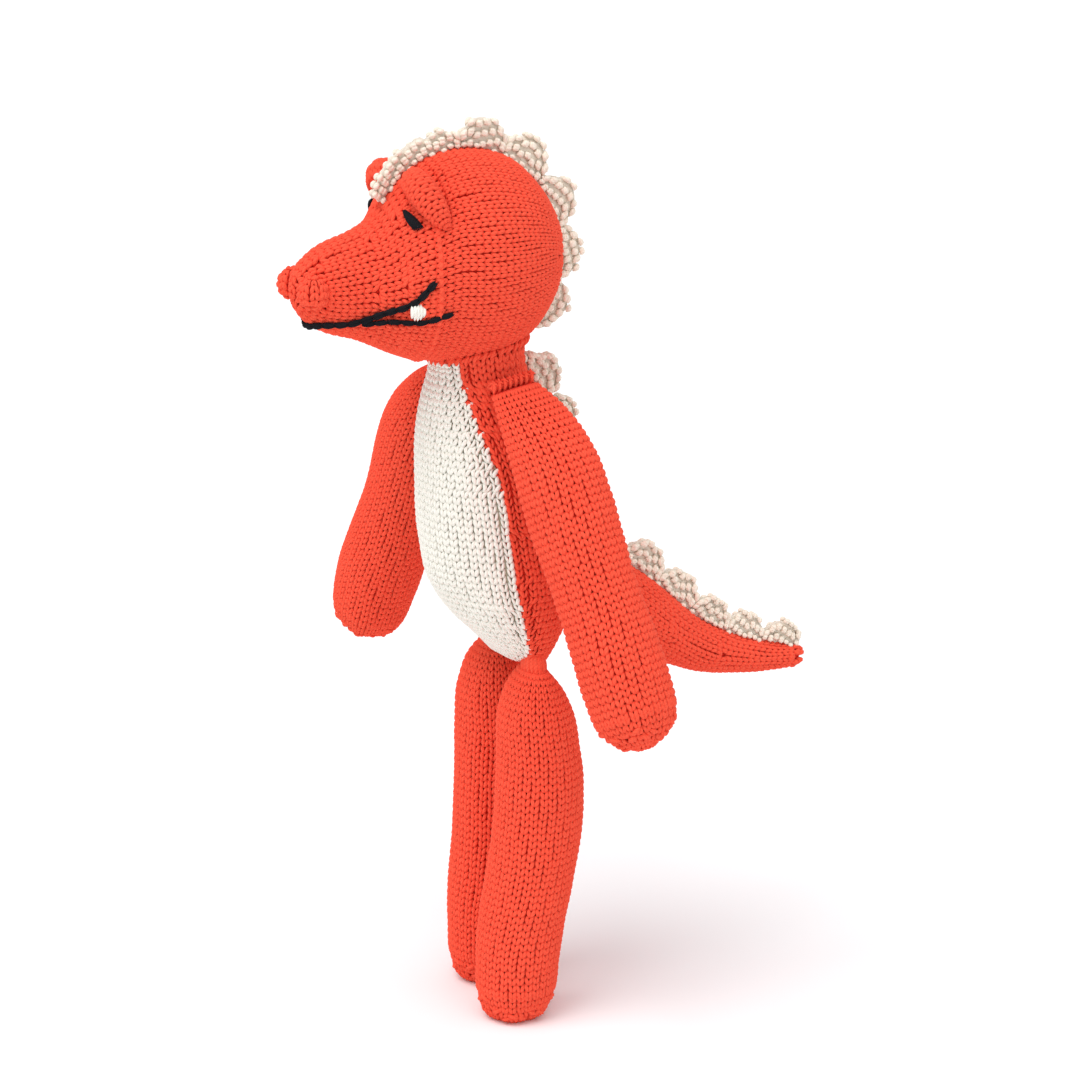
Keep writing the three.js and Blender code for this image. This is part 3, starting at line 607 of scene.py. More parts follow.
def under_head(x, y):
    """The height of the head's underside over a place."""
    off = ((x - HEAD_CENTRE[0]) / HEAD_SIZE[0]) ** 2 + ((y - HEAD_CENTRE[1]) / HEAD_SIZE[1]) ** 2
    return HEAD_CENTRE[2] - HEAD_SIZE[2] * np.sqrt(1 - np.clip(off, 0, 0.98))


def limb_frame(word, side):
    """(shoulder, axes) of an arm, whose own Z runs from the hand up to the shoulder."""
    shoulder = middle(f"{word}_shoulder_seam")
    reach = middle(f"{word}_hand_gather_yarn") - shoulder
    across = -joint_axis(f"{word}_shoulder_raise") * side
    if across[1] < 0:
        across = -across
    lean = math.atan2(ARM_BULGE * 0.3, ARM_LENGTH + SEW_YARN / 2 + 1.5)
    down = unit(reach)
    sideways = np.cross(across, down)
    out = -math.cos(lean) * sideways + side * math.sin(lean) * down
    up = -math.cos(lean) * down - side * math.sin(lean) * sideways
    return shoulder, np.array([out, across, up])


def pleats(x, y, share):
    """How far the gathered end of a limb is drawn in between its decreases."""
    return 1 - 0.055 * (1 + np.cos(6 * np.arctan2(y, x))) * np.clip(1 - share, 0, 1)


def arm_skin(word, side, gauge):
    length = ARM_LENGTH
    wide = [(0, 10.5), (10, 14), (30, 17), (length * 0.6, 17), (length - 26, 18.1), (length - 11, 16.4)]
    thin = smooth([(0, 0.324), (10, 0.52), (28, 0.82), (55, 1), (length, 1)])
    bulge = smooth([(0, 0), (10, 5.5), (30, ARM_BULGE), (length * 0.45, 9.9), (length, 3.3)])
    shoulder, axes = limb_frame(word, side)

    def place(x, y, z):
        pleat = pleats(x, y, (length + z) / 22)
        return shoulder + stack(x * pleat * thin(-z) + side * bulge(-z), y * pleat, z - LIMB_TOP) @ axes

    profile = [(0, -length + 1.5), (5, -length + 1.8), (11, -length + 4.2)]
    profile += [(r, -t) for t, r in reversed(wide)]
    return Skin(turned(profile, place), gauge.lumps, seed=21 + side)


def leg_skin(word, side, gauge):
    length = LEG_LENGTH
    wide = [(-1.4, 4.5), (0, 9), (4, 12.6), (16, 16.1), (36, 17.6), (98, 17.95)]
    wide += [(length - 26, 17.6), (length - 12, 16.9)]
    thin = smooth([(0, 0.5), (6, 0.72), (18, 0.93), (36, 1), (length, 1)])
    reach = 9 if side > 0 else 3
    sway = smooth([(0, 0), (length * 0.45, 2), (length * 0.8, -reach * 0.85), (length, -reach)])
    hip = middle(f"{word}_hip_seam")

    def place(x, y, z):
        pleat = pleats(x, y, (length + z) / 14)
        return hip + stack(x * pleat, y * pleat * thin(-z) + sway(-z), z - LIMB_TOP)

    profile = [(0, -length + 0.9), (10.5, -length + 0.9), (14, -length + 3.9)]
    profile += [(r, -t) for t, r in reversed(wide)]
    return Skin(turned(profile, place), gauge.lumps * 0.8, seed=31 + side)


tail_half_width = smooth(
    [(0, 8), (4, 12), (14, 15), (46, 13.2), (84, 7.5), (108, 5), (113.5, 3.6), (116, 1.5)]
)
tail_sag = smooth([(0, 0), (29, -12.8), (64, -27.3), (93, -30.2), (116, -29)])


def tail_place(x, y, z):
    share = np.clip(-z / TAIL_LENGTH, 0, 1)
    tall = 1.1 * (1 - share) + share
    own = stack(x, SEW_YARN / 2 + 1.8 - z, y * tall + tail_sag(-z))
    c, s = math.cos(-TAIL_DROOP), math.sin(-TAIL_DROOP)
    turn = np.array([[1, 0, 0], [0, c, -s], [0, s, c]])
    return middle("tail_seam") + own @ turn.T


def tail_skin(gauge):
    back = [0, 4, 8, 14, 29, 46, 65, 84, 96, 108, 113.5, 115.6]
    profile = [(0, -116)] + [(float(tail_half_width(t)), -t) for t in reversed(back)]
    return Skin(turned(profile, tail_place), gauge.lumps * 0.7, seed=41)


# ---- yarn materials


def yarn_group():
    """A shader group for plied yarn: ply grooves, fibres and stitch-to-stitch tone."""
    name = "Plied Yarn"
    if name in bpy.data.node_groups:
        return bpy.data.node_groups[name]
    group = bpy.data.node_groups.new(name, "ShaderNodeTree")
    for way, kind, labels in (
        ("INPUT", "Color", ("Colour", "Groove Shade Colour", "Light Colour")),
        ("INPUT", "Float", ("Plies", "Twist per mm", "Tone Spread")),
        ("OUTPUT", "Color", ("Colour",)),
        ("OUTPUT", "Float", ("Roughness", "Height")),
    ):
        for label in labels:
            group.interface.new_socket(label, in_out=way, socket_type=f"NodeSocket{kind}")
    nodes, links = group.nodes, group.links
    given, result = nodes.new("NodeGroupInput").outputs, nodes.new("NodeGroupOutput").inputs

    def maths(operation, a, b=None):
        node = nodes.new("ShaderNodeMath")
        node.operation = operation
        for socket, value in zip(node.inputs, (a, b)):
            if isinstance(value, (int, float)):
                socket.default_value = value
            elif value is not None:
                links.new(value, socket)
        return node.outputs[0]

    def mixed(share, a, b):
        node = nodes.new("ShaderNodeMix")
        node.data_type = "RGBA"
        for socket, value in ((node.inputs[0], share), (node.inputs[6], a), (node.inputs[7], b)):
            links.new(value, socket)
        return node.outputs[2]

    def ranged(value, *numbers):
        node = nodes.new("ShaderNodeMapRange")
        links.new(value, node.inputs[0])
        for socket, number in zip(node.inputs[1:5], numbers):
            socket.default_value = number
        return node.outputs[0]

    def noise(scale, detail, roughness=0.5):
        node = nodes.new("ShaderNodeTexNoise")
        links.new(place.outputs["Object"], node.inputs["Vector"])
        for label, value in (("Scale", scale), ("Detail", detail), ("Roughness", roughness)):
            node.inputs[label].default_value = value
        return node.outputs["Fac"]

    lay = nodes.new("ShaderNodeUVMap")
    lay.uv_map = "YarnUV"
    split = nodes.new("ShaderNodeSeparateXYZ")
    links.new(lay.outputs[0], split.inputs[0])
    plies = maths("MULTIPLY", split.outputs[0], given["Plies"])
    twist = maths("MULTIPLY", split.outputs[1], given["Twist per mm"])
    wave = maths("ABSOLUTE", maths("SINE", maths("MULTIPLY", maths("ADD", plies, twist), math.pi)))
    place = nodes.new("ShaderNodeTexCoord")
    fibres, patches = noise(1900, 3, 0.7), noise(34, 2)
    tone = nodes.new("ShaderNodeAttribute")
    tone.attribute_name = "stitch_tone"
    varied = maths("MULTIPLY", maths("ADD", tone.outputs["Fac"], patches), 0.5)
    spread = maths("MULTIPLY", varied, given["Tone Spread"])
    light = mixed(spread, given["Colour"], given["Light Colour"])
    # Painted shade: the ply grooves take the deeper colour, and random specks of the fibre noise take it
    # too.
    shade = maths("MAXIMUM", ranged(wave, 0.0, 0.55, 0.5, 0.0), ranged(fibres, 0.35, 0.62, 0.28, 0.0))
    links.new(mixed(shade, light, given["Groove Shade Colour"]), result["Colour"])
    links.new(ranged(fibres, 0.3, 0.7, 0.78, 0.95), result["Roughness"])
    links.new(maths("ADD", wave, maths("MULTIPLY", fibres, 0.55)), result["Height"])
    return group


LOOKS = {}  # each yarn's material, made once


def shaded(colour, factor, towards=(0, 0, 0)):
    return tuple(c * factor + t * (1 - factor) for c, t in zip(colour, towards))


def times(colour, factors):
    return tuple(c * f for c, f in zip(colour, factors))


def principled(look):
    look.use_nodes = True
    return next(node for node in look.node_tree.nodes if node.type == "BSDF_PRINCIPLED")


def yarn_look(name, colour, deep, light, plies=3.0, twist=0.55, sheen=0.1, bump=0.5):
    """A matte yarn with its own colours, a soft halo of fibres and visible plies."""
    if name in LOOKS:
        return LOOKS[name]
    look = LOOKS[name] = bpy.data.materials.new(name)
    shader = principled(look)
    tree = look.node_tree
    yarn = tree.nodes.new("ShaderNodeGroup")
    yarn.node_tree = yarn_group()
    relief = tree.nodes.new("ShaderNodeBump")
    for node, label, value in (
        (yarn, "Colour", (*colour, 1)),
        (yarn, "Groove Shade Colour", (*deep, 1)),
        (yarn, "Light Colour", (*light, 1)),
        (yarn, "Plies", plies),
        (yarn, "Twist per mm", twist),
        (yarn, "Tone Spread", 0.3),
        (relief, "Strength", bump),
        (relief, "Distance", 0.00022),
        (shader, "Specular IOR Level", 0.06),
        (shader, "Sheen Weight", sheen),
        (shader, "Sheen Roughness", 0.45),
        (shader, "Sheen Tint", (*shaded(light, 0.6, (1, 1, 1)), 1)),
    ):
        node.inputs[label].default_value = value
    for node, label, to, into in (
        (yarn, "Colour", shader, "Base Color"),
        (yarn, "Roughness", shader, "Roughness"),
        (yarn, "Height", relief, "Height"),
        (relief, "Normal", shader, "Normal"),
    ):
        tree.links.new(node.outputs[label], to.inputs[into])
    return look


# The second colour given for each yarn is the painted shade of its ply grooves; the third is a lighter
# tone that stitches take at random.
def coral(settings):
    c = tuple(settings.coral)
    return yarn_look("coral_yarn", c, times(c, (0.78, 0.4, 0.4)), (1.0, c[1] * 1.5, c[2] * 1.5))


def cloth_inside(name, colour, factors):
    """The inner cloth of a cover, which is in the shade of its stitches."""
    deep = times(colour, factors)
    return yarn_look(name, deep, shaded(deep, 0.8), colour, bump=0.3)


def cream(settings):
    c = tuple(settings.cream)
    return yarn_look("cream_yarn", c, times(c, (0.82, 0.78, 0.68)), (0.98, 0.97, 0.93))


def crest_yarn(settings):
    c = tuple(settings.crest)
    return yarn_look("crest_yarn", c, times(c, (0.8, 0.68, 0.56)), (0.98, 0.94, 0.87))


def black_yarn(settings):
    c = tuple(settings.black)
    light = shaded(c, 0.9, (0.2, 0.2, 0.22))
    return yarn_look("black_face_yarn", c, shaded(c, 0.4), light, sheen=0.0, bump=0.8)


def stuffing_look():
    colours = (0.83, 0.82, 0.78), (0.6, 0.59, 0.55), (0.92, 0.92, 0.9)
    return yarn_look("loose_stuffing", *colours, plies=9, twist=2.1)


# ---- pieces


def coral_looks(settings):
    # Painted shade: these factors make the inner cloth darker than the coral yarn.
    inside = cloth_inside("coral_inner_cloth_painted_shade", tuple(settings.coral), (0.92, 0.28, 0.28))
    return [coral(settings), inside]


def cream_looks(settings):
    # Painted shade: these factors make the inner cloth darker than the cream yarn.
    inside = cloth_inside("cream_inner_cloth_painted_shade", tuple(settings.cream), (0.6, 0.5, 0.36))
    return [cream(settings), inside]


def finished(made, body, replaced=()):
    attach(made, body)
    if replaced:
        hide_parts(*replaced)
    return made


def fill_lump(name, skin, body, node, span):
    """The loose stuffing inside a cover, as one soft lump."""
    knitting = Knitting(3)
    grid, out = skin.sheet(4.2, max(int(skin.length / 5), 6), 32, span)
    grid = grid + out * (0.5 * stuffing(grid * 2.3, 77)[..., None] - 0.5)
    for row in (0, -1):
        grid[row] = grid[row].mean(axis=0)
    knitting.cloth(grid, look=0)
    return knitting.piece(name, [stuffing_look()], body, "stuffing", node, 0.9)


def cover(knitting, skin, settings, word, body, fill=0.85, span=(0.0, 1.0), filled=(0.0, 0.95)):
    """Hands over a coral cover, with its inner cloth and its stuffing over spans of the skin."""
    knitting.cloth(backing(skin, Gauge(settings), span=span))
    knitting.piece(f"{word}_knit", coral_looks(settings), body, "coral_knit", f"{word}_cover", fill)
    fill_lump(f"{word}_stuffing", skin, body, f"{word}_filling", filled)


def drawn_in(ring):
    """A ring drawn in to its middle, which closes the end of a sheet."""
    return ring.mean(axis=1, keepdims=True) + 0 * ring


def make_torso(settings):
    gauge = Gauge(settings)
    skin = torso_skin(gauge)
    height = np.clip(skin.points[:, :, 2].mean(axis=1) - TORSO_BOTTOM, 0, TORSO_HEIGHT)
    at = np.arange(len(height)) * skin.step
    depth = torso_half_width(height) * torso_flatness(height)
    angle = np.arccos(np.clip(belly_edge(height) / np.maximum(depth, 1), -0.9, 0.95))
    ring = np.linspace(0, math.pi, 200)
    share = []
    for wide, deep, turn in zip(torso_half_width(height), depth, angle):
        arc = np.hypot(wide * np.cos(ring), deep * np.sin(ring))
        share.append(np.interp(turn, ring, np.cumsum(arc)) / arc.sum() / 2)
    share = np.array(share)
    belly, back = Knitting(12), Knitting(13)
    top = skin.length - 1.0
    v = np.linspace(0, skin.length, int(skin.length / 3))
    edge = np.interp(v, at, share)
    for knitting, centre, part, low, high in (
        (belly, 0.0, share, -edge, edge),
        (back, 0.5, 0.5 - share, edge, 1 - edge),
    ):
        half = lambda v: np.interp(v, at, part * skin.girth)
        lay_stitches(knitting, skin, [(centre, half)], gauge, 4.0, top, loose=True)
        around = np.linspace(0, 1, 25) * (high - low)[:, None] + low[:, None]
        along = v[:, None] + np.zeros(25)
        outer = skin.at(around, along, -gauge.yarn * 1.5)[0]
        inner = skin.at(around, along, -gauge.yarn * 1.5 - BACKING_THICKNESS)[0]
        loop = np.concatenate([outer, inner[:, ::-1]], axis=1)
        loop[0] = loop[0].mean(axis=0)
        knitting.cloth(np.concatenate([loop, drawn_in(loop[-1:])]))
    seam_at = np.arange(6.0, top - 4, gauge.row * 2)
    edge = np.interp(seam_at, at, share)[:, None]
    for side in (-1, 1):
        for lean in (-1, 1):
            across = lean * side * np.linspace(-0.55, 0.55, 6) * gauge.pitch
            across = edge * side + across / skin.girth_at(seam_at)[:, None]
            along = seam_at[:, None] + (np.linspace(-0.3, 0.8, 6) + (lean + 1) / 2) * gauge.row
            points, normals = skin.at(across, along, -1.2)
            back.strands(points, normals, gauge.yarn * 0.95)
    belly.piece("belly_knit", cream_looks(settings), "torso", "cream_knit", "belly_panel", 0.85)
    back.piece("back_knit", coral_looks(settings), "torso", "coral_knit", "back_panel", 0.85)
    fill_lump("torso_stuffing", skin, "torso", "torso_filling", (0.0, 0.93))


HEAD_JOIN = -22.5  # the snout's knitting ends this far in front of the head's centre
NOSTRIL_SIZE = (6.2, 6.0, 6.5)
BACKSTITCH_LENGTH = 5.2
# Places on the left of the snout: how far back from its tip, and degrees above its side.
LIP_LINE = ((24, -37), (35, -27), (45, -23))
MOUTH_LINE = ((50, 7), (42, -8), (32, -20), (20, -36), (9, -52), (6, -90))
CREST_CURL = 1.4
BACK_CREST_FOOT = 47.5  # above the torso's bottom, clear of the tail
BEAD_PITCH, BEAD_ROW = 2.8, 2.35  # of the crest's moss stitch


def make_head(settings):
    gauge = Gauge(settings)
    skin = head_skin(gauge)
    length = skin.length
    join = place_along(skin, HEAD_JOIN)
    full = lambda v: np.where(v < join + 62, 4, 0)  # columns are kept until the head turns in
    knitting = Knitting(15)
    gores = even_gores(skin, 8, 0.5)
    lay_stitches(knitting, skin, gores, gauge, join - 1.0, length - 3.2, up=-1, most=4, fewest=full)
    lay_bumps(knitting, skin, length - 2.4, 5, gauge, -0.5)
    spans = ((join + 0.4) / length, 1.0), ((join + 3) / length, 1.0)
    cover(knitting, skin, settings, "head", "head", 0.9, *spans)
    knitting = Knitting(16)
    lay_stitches(knitting, skin, even_gores(skin, 6), gauge, 3.2, join + 1.2, up=-1)
    lay_bumps(knitting, skin, 2.0, 5, gauge, -0.4)
    lay_bumps(knitting, skin, join, 66, gauge, -0.1, size=1.15)
    spans = (0.0, join / length), (0.0, (join - 2) / length)
    cover(knitting, skin, settings, "snout", "head", 0.9, *spans)


def satin(node, lines, radius, looks, slot, seed):
    """A patch of long straight stitches laid side by side."""
    knitting = Knitting(seed)
    for line in lines:
        line = rounded(line, 13)
        knitting.strands(line[None], unit(line - HEAD_CENTRE)[None], radius, segments=8)
    knitting.piece(f"{node}_satin", looks, "head", slot, node)


def backstitch(name, path, thick, looks, node, seed):
    """A line of backstitches: short overlapping stitches along a path."""
    knitting = Knitting(seed)
    line = rounded(path, 400)
    share = np.linspace(0, 1, 400)
    count = max(int(run_of(line)[-1] / BACKSTITCH_LENGTH), 2)
    for n in range(count):
        ends = np.clip([(n - 0.16) / count, (n + 1.16) / count], 0, 1)
        centre = read_at(np.linspace(*ends, 9), share, line)
        out = unit(centre - HEAD_CENTRE - (0, -20, -8))
        centre = centre + out * 0.5 * np.sin(np.linspace(0, math.pi, 9))[:, None]
        across = unit(np.cross(np.gradient(centre, axis=0), out))
        for side in (-1, 1):
            strand = centre + across * side * thick * 0.42
            knitting.strands(strand[None], out[None], thick * 0.72, segments=8)
    knitting.piece(name, looks, "head", "black_yarn", node)


def flip(points, side):
    """Points of the left half of the head, or their mirror images."""
    return HEAD_CENTRE + (np.array(points) - HEAD_CENTRE) * (side, 1, 1)


def make_brow(word, side, gauge, settings):
    """A stuffed roll over an eye, with stitches over it and cloth inside."""
    low, high = on_ball(37, 9, 0.5), on_ball(49.5, 54, 0.5)
    share = np.linspace(0, 1, 60)
    spine = low * (1 - share)[:, None] + high * share[:, None]
    out = unit(spine - HEAD_CENTRE)
    spine = spine + out * (7.8 * np.sin(math.pi * share)[:, None] - 0.4)
    ahead = unit(np.cross(unit(np.gradient(spine, axis=0)), out))
    ahead *= -np.sign(ahead[:, 1]).mean()
    thick = 6.0 * np.sin(math.pi * np.clip(share, 0.02, 0.98)) ** 0.55

    def rolled(turn, inwards):
        way = np.cos(turn)[:, None] * ahead[:, None] + np.sin(turn)[:, None] * out[:, None]
        return spine[:, None] + (thick[:, None, None] - inwards) * way

    grid = rolled(np.radians(np.linspace(-35, 215, 60)), 0).transpose(1, 0, 2)
    knitting = Knitting(50 + side)
    lay_strip(knitting, Skin(flip(grid, side), closed=False), gauge)
    body = rolled(angles(24), 1.3)[::4]
    body[0], body[-1] = body[0].mean(axis=0), body[-1].mean(axis=0)
    knitting.cloth(flip(body, side))
    looks = coral_looks(settings)
    knitting.piece(f"{word}_brow_knit", looks, "head", "coral_knit", f"{word}_brow", 0.8)


def make_nostril(word, side, gauge, settings):
    """A knitted bobble at the tip of the snout."""
    centre = HEAD_CENTRE + (side * 12.2, 4.6 - SNOUT_REACH, -SNOUT_DROP + 0.4)
    angle = np.linspace(0, math.pi, 80)[:, None]
    ring = angles(120)
    bobble = stack(np.sin(angle) * np.cos(ring), np.sin(angle) * np.sin(ring), np.cos(angle))
    skin = Skin(centre + bobble * NOSTRIL_SIZE)
    knitting = Knitting(70 + side)
    lay_stitches(knitting, skin, even_gores(skin, 3, 0.2), gauge, 2.5, skin.length - 1.5)
    lay_bumps(knitting, skin, 1.6, 3, gauge, -0.4)
    knitting.cloth(backing(skin, gauge, rows=9, depth=1.4, around=20))
    looks = coral_looks(settings)
    knitting.piece(f"{word}_nostril_knit", looks, "head", "coral_knit", f"{word}_nostril", 0.8)


def make_face(settings):
    gauge = Gauge(settings)
    black = [black_yarn(settings)]
    for word, side in SIDES.items():
        make_brow(word, side, gauge, settings)
        lines = []
        for t in np.linspace(0, 1, 6):
            top = on_ball(55 + t, 25.5 - t, 1.2)
            foot = on_ball(59.5 + 4.5 * t, 42.5 - 2 * t - 2 * t * t, 1.2)
            crown = (top + foot) / 2
            crown = crown + unit(crown - HEAD_CENTRE) * (0.8 + 0.6 * math.sin(math.pi * t))
            lines.append(flip([top, crown, foot], side))
        satin(f"{word}_eye", lines, 0.8, black, "black_yarn", 60 + side)
        make_nostril(word, side, gauge, settings)
        path = [on_snout(back, math.radians(turn), 1.3) for back, turn in LIP_LINE]
        path = flip(path + [on_ball(133.7, 56.4, 1.3)], side)
        backstitch(f"{word}_lip_backstitch", path, 1.15, black, f"{word}_lip_line", 80 + side)
        gum = on_snout(43.0, math.radians(-14.5), 1.6)
        lines = []
        for t in (-1, -0.5, 0, 0.5, 1):
            tall = np.array([0, 0, 4.0 * math.sqrt(1 - 0.55 * t * t)])
            base = gum + (0, t * 2.5, 0)
            lines.append(flip([base + tall, base + (1.1, 0, 0), base - tall], side))
        satin(f"{word}_tooth", lines, 0.95, [cream(settings)], "cream_knit", 90 + side)
    path = [on_snout(back, math.radians(turn), 1.4) for back, turn in MOUTH_LINE]
    path += [flip(p, -1) for p in path[-2::-1]]
    backstitch("mouth_backstitch", path, 1.35, black, "mouth_line", 79)


def lay_strip(knitting, skin, gauge):
    """Stitches whose columns run over a roll, side by side along it."""
    count = round(run_of(skin.points[len(skin.points) // 2])[-1] / gauge.pitch)
    rows = np.arange(gauge.row / 2, skin.length, gauge.row)
    u, v = (a.reshape(-1, 1) for a in np.meshgrid((np.arange(count) + 0.5) / count, rows))
    v = v + (LEG_ALONG - LEG_MIDDLE) * gauge.row
    for side in (-1, 1):
        points, normals = skin.at(u + side * LEG_OUT / count, v, gauge.yarn * (0.75 * ARCH - 0.9))
        knitting.strands(points, normals, gauge.yarn)


def scallops(node, body, base, out, count, height, settings, seed, plain=lambda s: 0.0):
    """A moss-stitch edging with rounded scallops; base and out give its sewn edge and way out."""
    gauge = Gauge(settings)
    knitting = Knitting(seed)
    share = np.linspace(0, 1, count * 14 + 1)
    foot = np.array([base(s) for s in share])
    way = np.array([out(s) for s in share])
    wave = np.abs(np.sin(math.pi * share * count)) ** 0.65
    tall = CREST_BAND + np.array([max(w * height(s), plain(s)) for s, w in zip(share, wave)])
    run = run_of(foot)
    length = run[-1]

    def point(s, t, side, lift=0.0):
        s = np.clip(s, 0, 1)
        sway = CREST_CURL * np.sin(math.pi * s * count + 0.6) * t**2 + 0.5 * np.sin(7.3 * s * count) * t
        x = sway + side * (1.6 - 0.4 * t) + lift * np.sign(side)
        up = read_at(s, share, way) * (np.interp(s, share, tall) * t)[..., None]
        return read_at(s, share, foot) + up + x[..., None] * (1.0, 0, 0)

    t = np.linspace(-0.05, 0.97, 6)
    loop = [point(share, level, side * 0.7) for side in (1, -1) for level in t[::side]]
    grid = np.stack(loop, axis=1)
    knitting.cloth(np.concatenate([drawn_in(grid[:1]), grid, drawn_in(grid[-1:])]))
    columns = np.interp(np.arange(BEAD_PITCH * 0.4, length - 0.5, BEAD_PITCH), run, share)
    half = BEAD_PITCH * 0.52 / length
    for side in (-1, 1):
        s_of, t_of = [], []
        for n, s in enumerate(columns):
            h = np.interp(s, share, tall)
            levels = np.arange(0.9 + (n % 2) * BEAD_ROW / 2, h + 0.6, BEAD_ROW)
            s_of += [s] * len(levels)
            t_of += list(levels / h)
        s_of = np.array(s_of) + knitting.random.normal(0, 0.12, len(s_of)) / length
        s = s_of[:, None] + np.linspace(-1, 1, 6) * half
        bow = 0.07 * np.where(np.arange(len(t_of)) % 2, 1, -1)[:, None]
        t = np.clip(np.array(t_of)[:, None] + bow * ARCH, -0.05, 1.04)
        centre = point(s, t, side, 0.1 + 0.6 * ARCH)
        knitting.strands(centre, np.broadcast_to((side, 0.0, 0.0), centre.shape), gauge.yarn * 1.32)
    knitting.piece(f"{node}_knit", [crest_yarn(settings)] * 2, body, "crest_knit", node)


def make_crest(settings):
    front, end = math.radians(57), math.radians(-134)
    angle = lambda s: front + s * (end - front)
    out = lambda s: np.array([0, -math.sin(angle(s)), math.cos(angle(s))])
    ball = lambda s: HEAD_CENTRE + HEAD_SIZE * out(s)
    count = round((HEAD_SIZE[1] + HEAD_SIZE[2]) / 2 * (front - end) / SCALLOP_LENGTH)
    tall = lambda s: SCALLOP_HEIGHT * max(0.12, min(1.1, 6 * s - 0.9, 1.6 - 0.8 * s))
    plain = lambda s: 4.5 * min(1.0, 0.4 + 8 * s) * (s < 0.2)
    scallops("head_crest", "head", ball, out, count, tall, settings, 101, plain)
    low, high = BACK_CREST_FOOT, TORSO_HEIGHT + 2

    def spine(s):
        z = high + s * (low - high)
        return torso_place(0.0, float(torso_half_width(z)), z)

    def away(place, s):
        run = place(min(s + 0.02, 1)) - place(max(s - 0.02, 0))
        return unit(np.array([0, -run[2], run[1]]))

    count = round((high - low) / SCALLOP_LENGTH)
    tall = lambda s: SCALLOP_HEIGHT * (1.25 - 0.35 * s)
    out = lambda s: away(spine, s)
    scallops("back_crest", "torso", spine, out, count, tall, settings, 102)
    first, last = 14, TAIL_LENGTH - 3

    def ridge(s):
        back = first + s * (last - first)
        return tail_place(0.0, float(tail_half_width(back)), -back)

    count = round((last - first) / SCALLOP_LENGTH)
    tall = lambda s: SCALLOP_HEIGHT * (1.15 - 0.4 * s)
    out = lambda s: away(ridge, s)
    scallops("tail_crest", "tail", ridge, out, count, tall, settings, 103)


# How far from the tip the full number of columns begins, along the cover.
HAND_END = 24.0
FOOT_END = 26.0


def knit_limb(word, skin, settings, seed, ends, slubs):
    """A limb: stitches in decrease at its end, slubs over them, and full columns up to its top."""
    first, full, last = ends
    gauge = Gauge(settings)
    knitting = Knitting(seed)
    gores = even_gores(skin, 6)
    lay_stitches(knitting, skin, gores, gauge, first, full, most=2)
    lay_stitches(knitting, skin, gores, gauge, full, skin.length - last, most=2, fewest=2)
    lay_slubs(knitting, skin, gauge, *slubs)
    cover(knitting, skin, settings, word, word)


def make_arms(settings):
    gauge = Gauge(settings)
    for word, side in SIDES.items():
        skin = arm_skin(word, side, gauge)
        ends = 3.5, HAND_END, 1.5
        knit_limb(f"{word}_arm", skin, settings, 120 + side, ends, (5.0, 21.0, 26))
        tie = Knitting(125 + side)
        lay_bumps(tie, skin, 1.5, 6, gauge, -0.1, size=0.9)
        lay_bumps(tie, skin, 3.1, 6, gauge, 0.0, offset=0.5, size=0.9)
        node = f"{word}_hand_gather_yarn"
        tie.piece(f"{word}_hand_gather", [coral(settings)], f"{word}_arm", "coral_knit", node)


def make_legs(settings):
    for word, side in SIDES.items():
        skin = leg_skin(word, side, Gauge(settings))
        ends = 2.0, FOOT_END, 1.2
        knit_limb(f"{word}_leg", skin, settings, 130 + side, ends, (14.0, 27.0, 22))


def make_tail(settings):
    gauge = Gauge(settings)
    skin = tail_skin(gauge)
    knitting = Knitting(140)
    lay_stitches(knitting, skin, even_gores(skin, 4, 0.5), gauge, 2.5, skin.length - 1.2)
    cover(knitting, skin, settings, "tail", "tail")


def whipped(node, body, path, shut, stitch, thick, settings, seed, spacing=3.6, gathered=None):
    """A sewn seam: a core of twisted yarn under whip stitches, and any gathered strands round it.

    stitch gives the way across the seam and the way out of it, for each stitch at a place.
    """
    knitting = Knitting(seed)
    if gathered:
        knitting.strands(*gathered, 1.45)
    steps = 300
    line = rounded(np.vstack([path, path[:1]]) if shut else path, steps)
    run = run_of(line)[-1]
    centre = line.mean(axis=0)
    t = np.linspace(-1, 1, 9)[:, None]
    count = int(run / spacing)
    for n in range(count):
        i = int((n + 0.5) / count * (steps - 1))
        way = unit(line[min(i + 1, steps - 1)] - line[max(i - 1, 0)])
        for across, out in stitch(line[i] - centre):
            loop = line[i] + across * t * thick * 2.3 + out * (1 - t**2) * thick * 1.15 + way * 1.1 * t
            knitting.strands(loop[None], np.broadcast_to(out, loop.shape)[None], 0.85)
    out = unit(line - centre) if shut else np.broadcast_to([0.3, 0.2, 1.0], line.shape)
    side = unit(np.cross(unit(np.gradient(line, axis=0)), out))
    top = np.cross(side, unit(np.gradient(line, axis=0)))
    for turn in (0, math.pi):
        phase = (np.linspace(0, run / 5.5 * math.tau, steps) + turn)[:, None]
        core = line + 0.62 * (np.cos(phase) * side + np.sin(phase) * top)
        for start in range(0, 294, 49):
            part = slice(start, start + 54)
            knitting.strands(core[part][None], top[part][None], 0.8, taper=False)
    knitting.piece(f"{node}_yarn", [coral(settings)], body, "coral_knit", node)


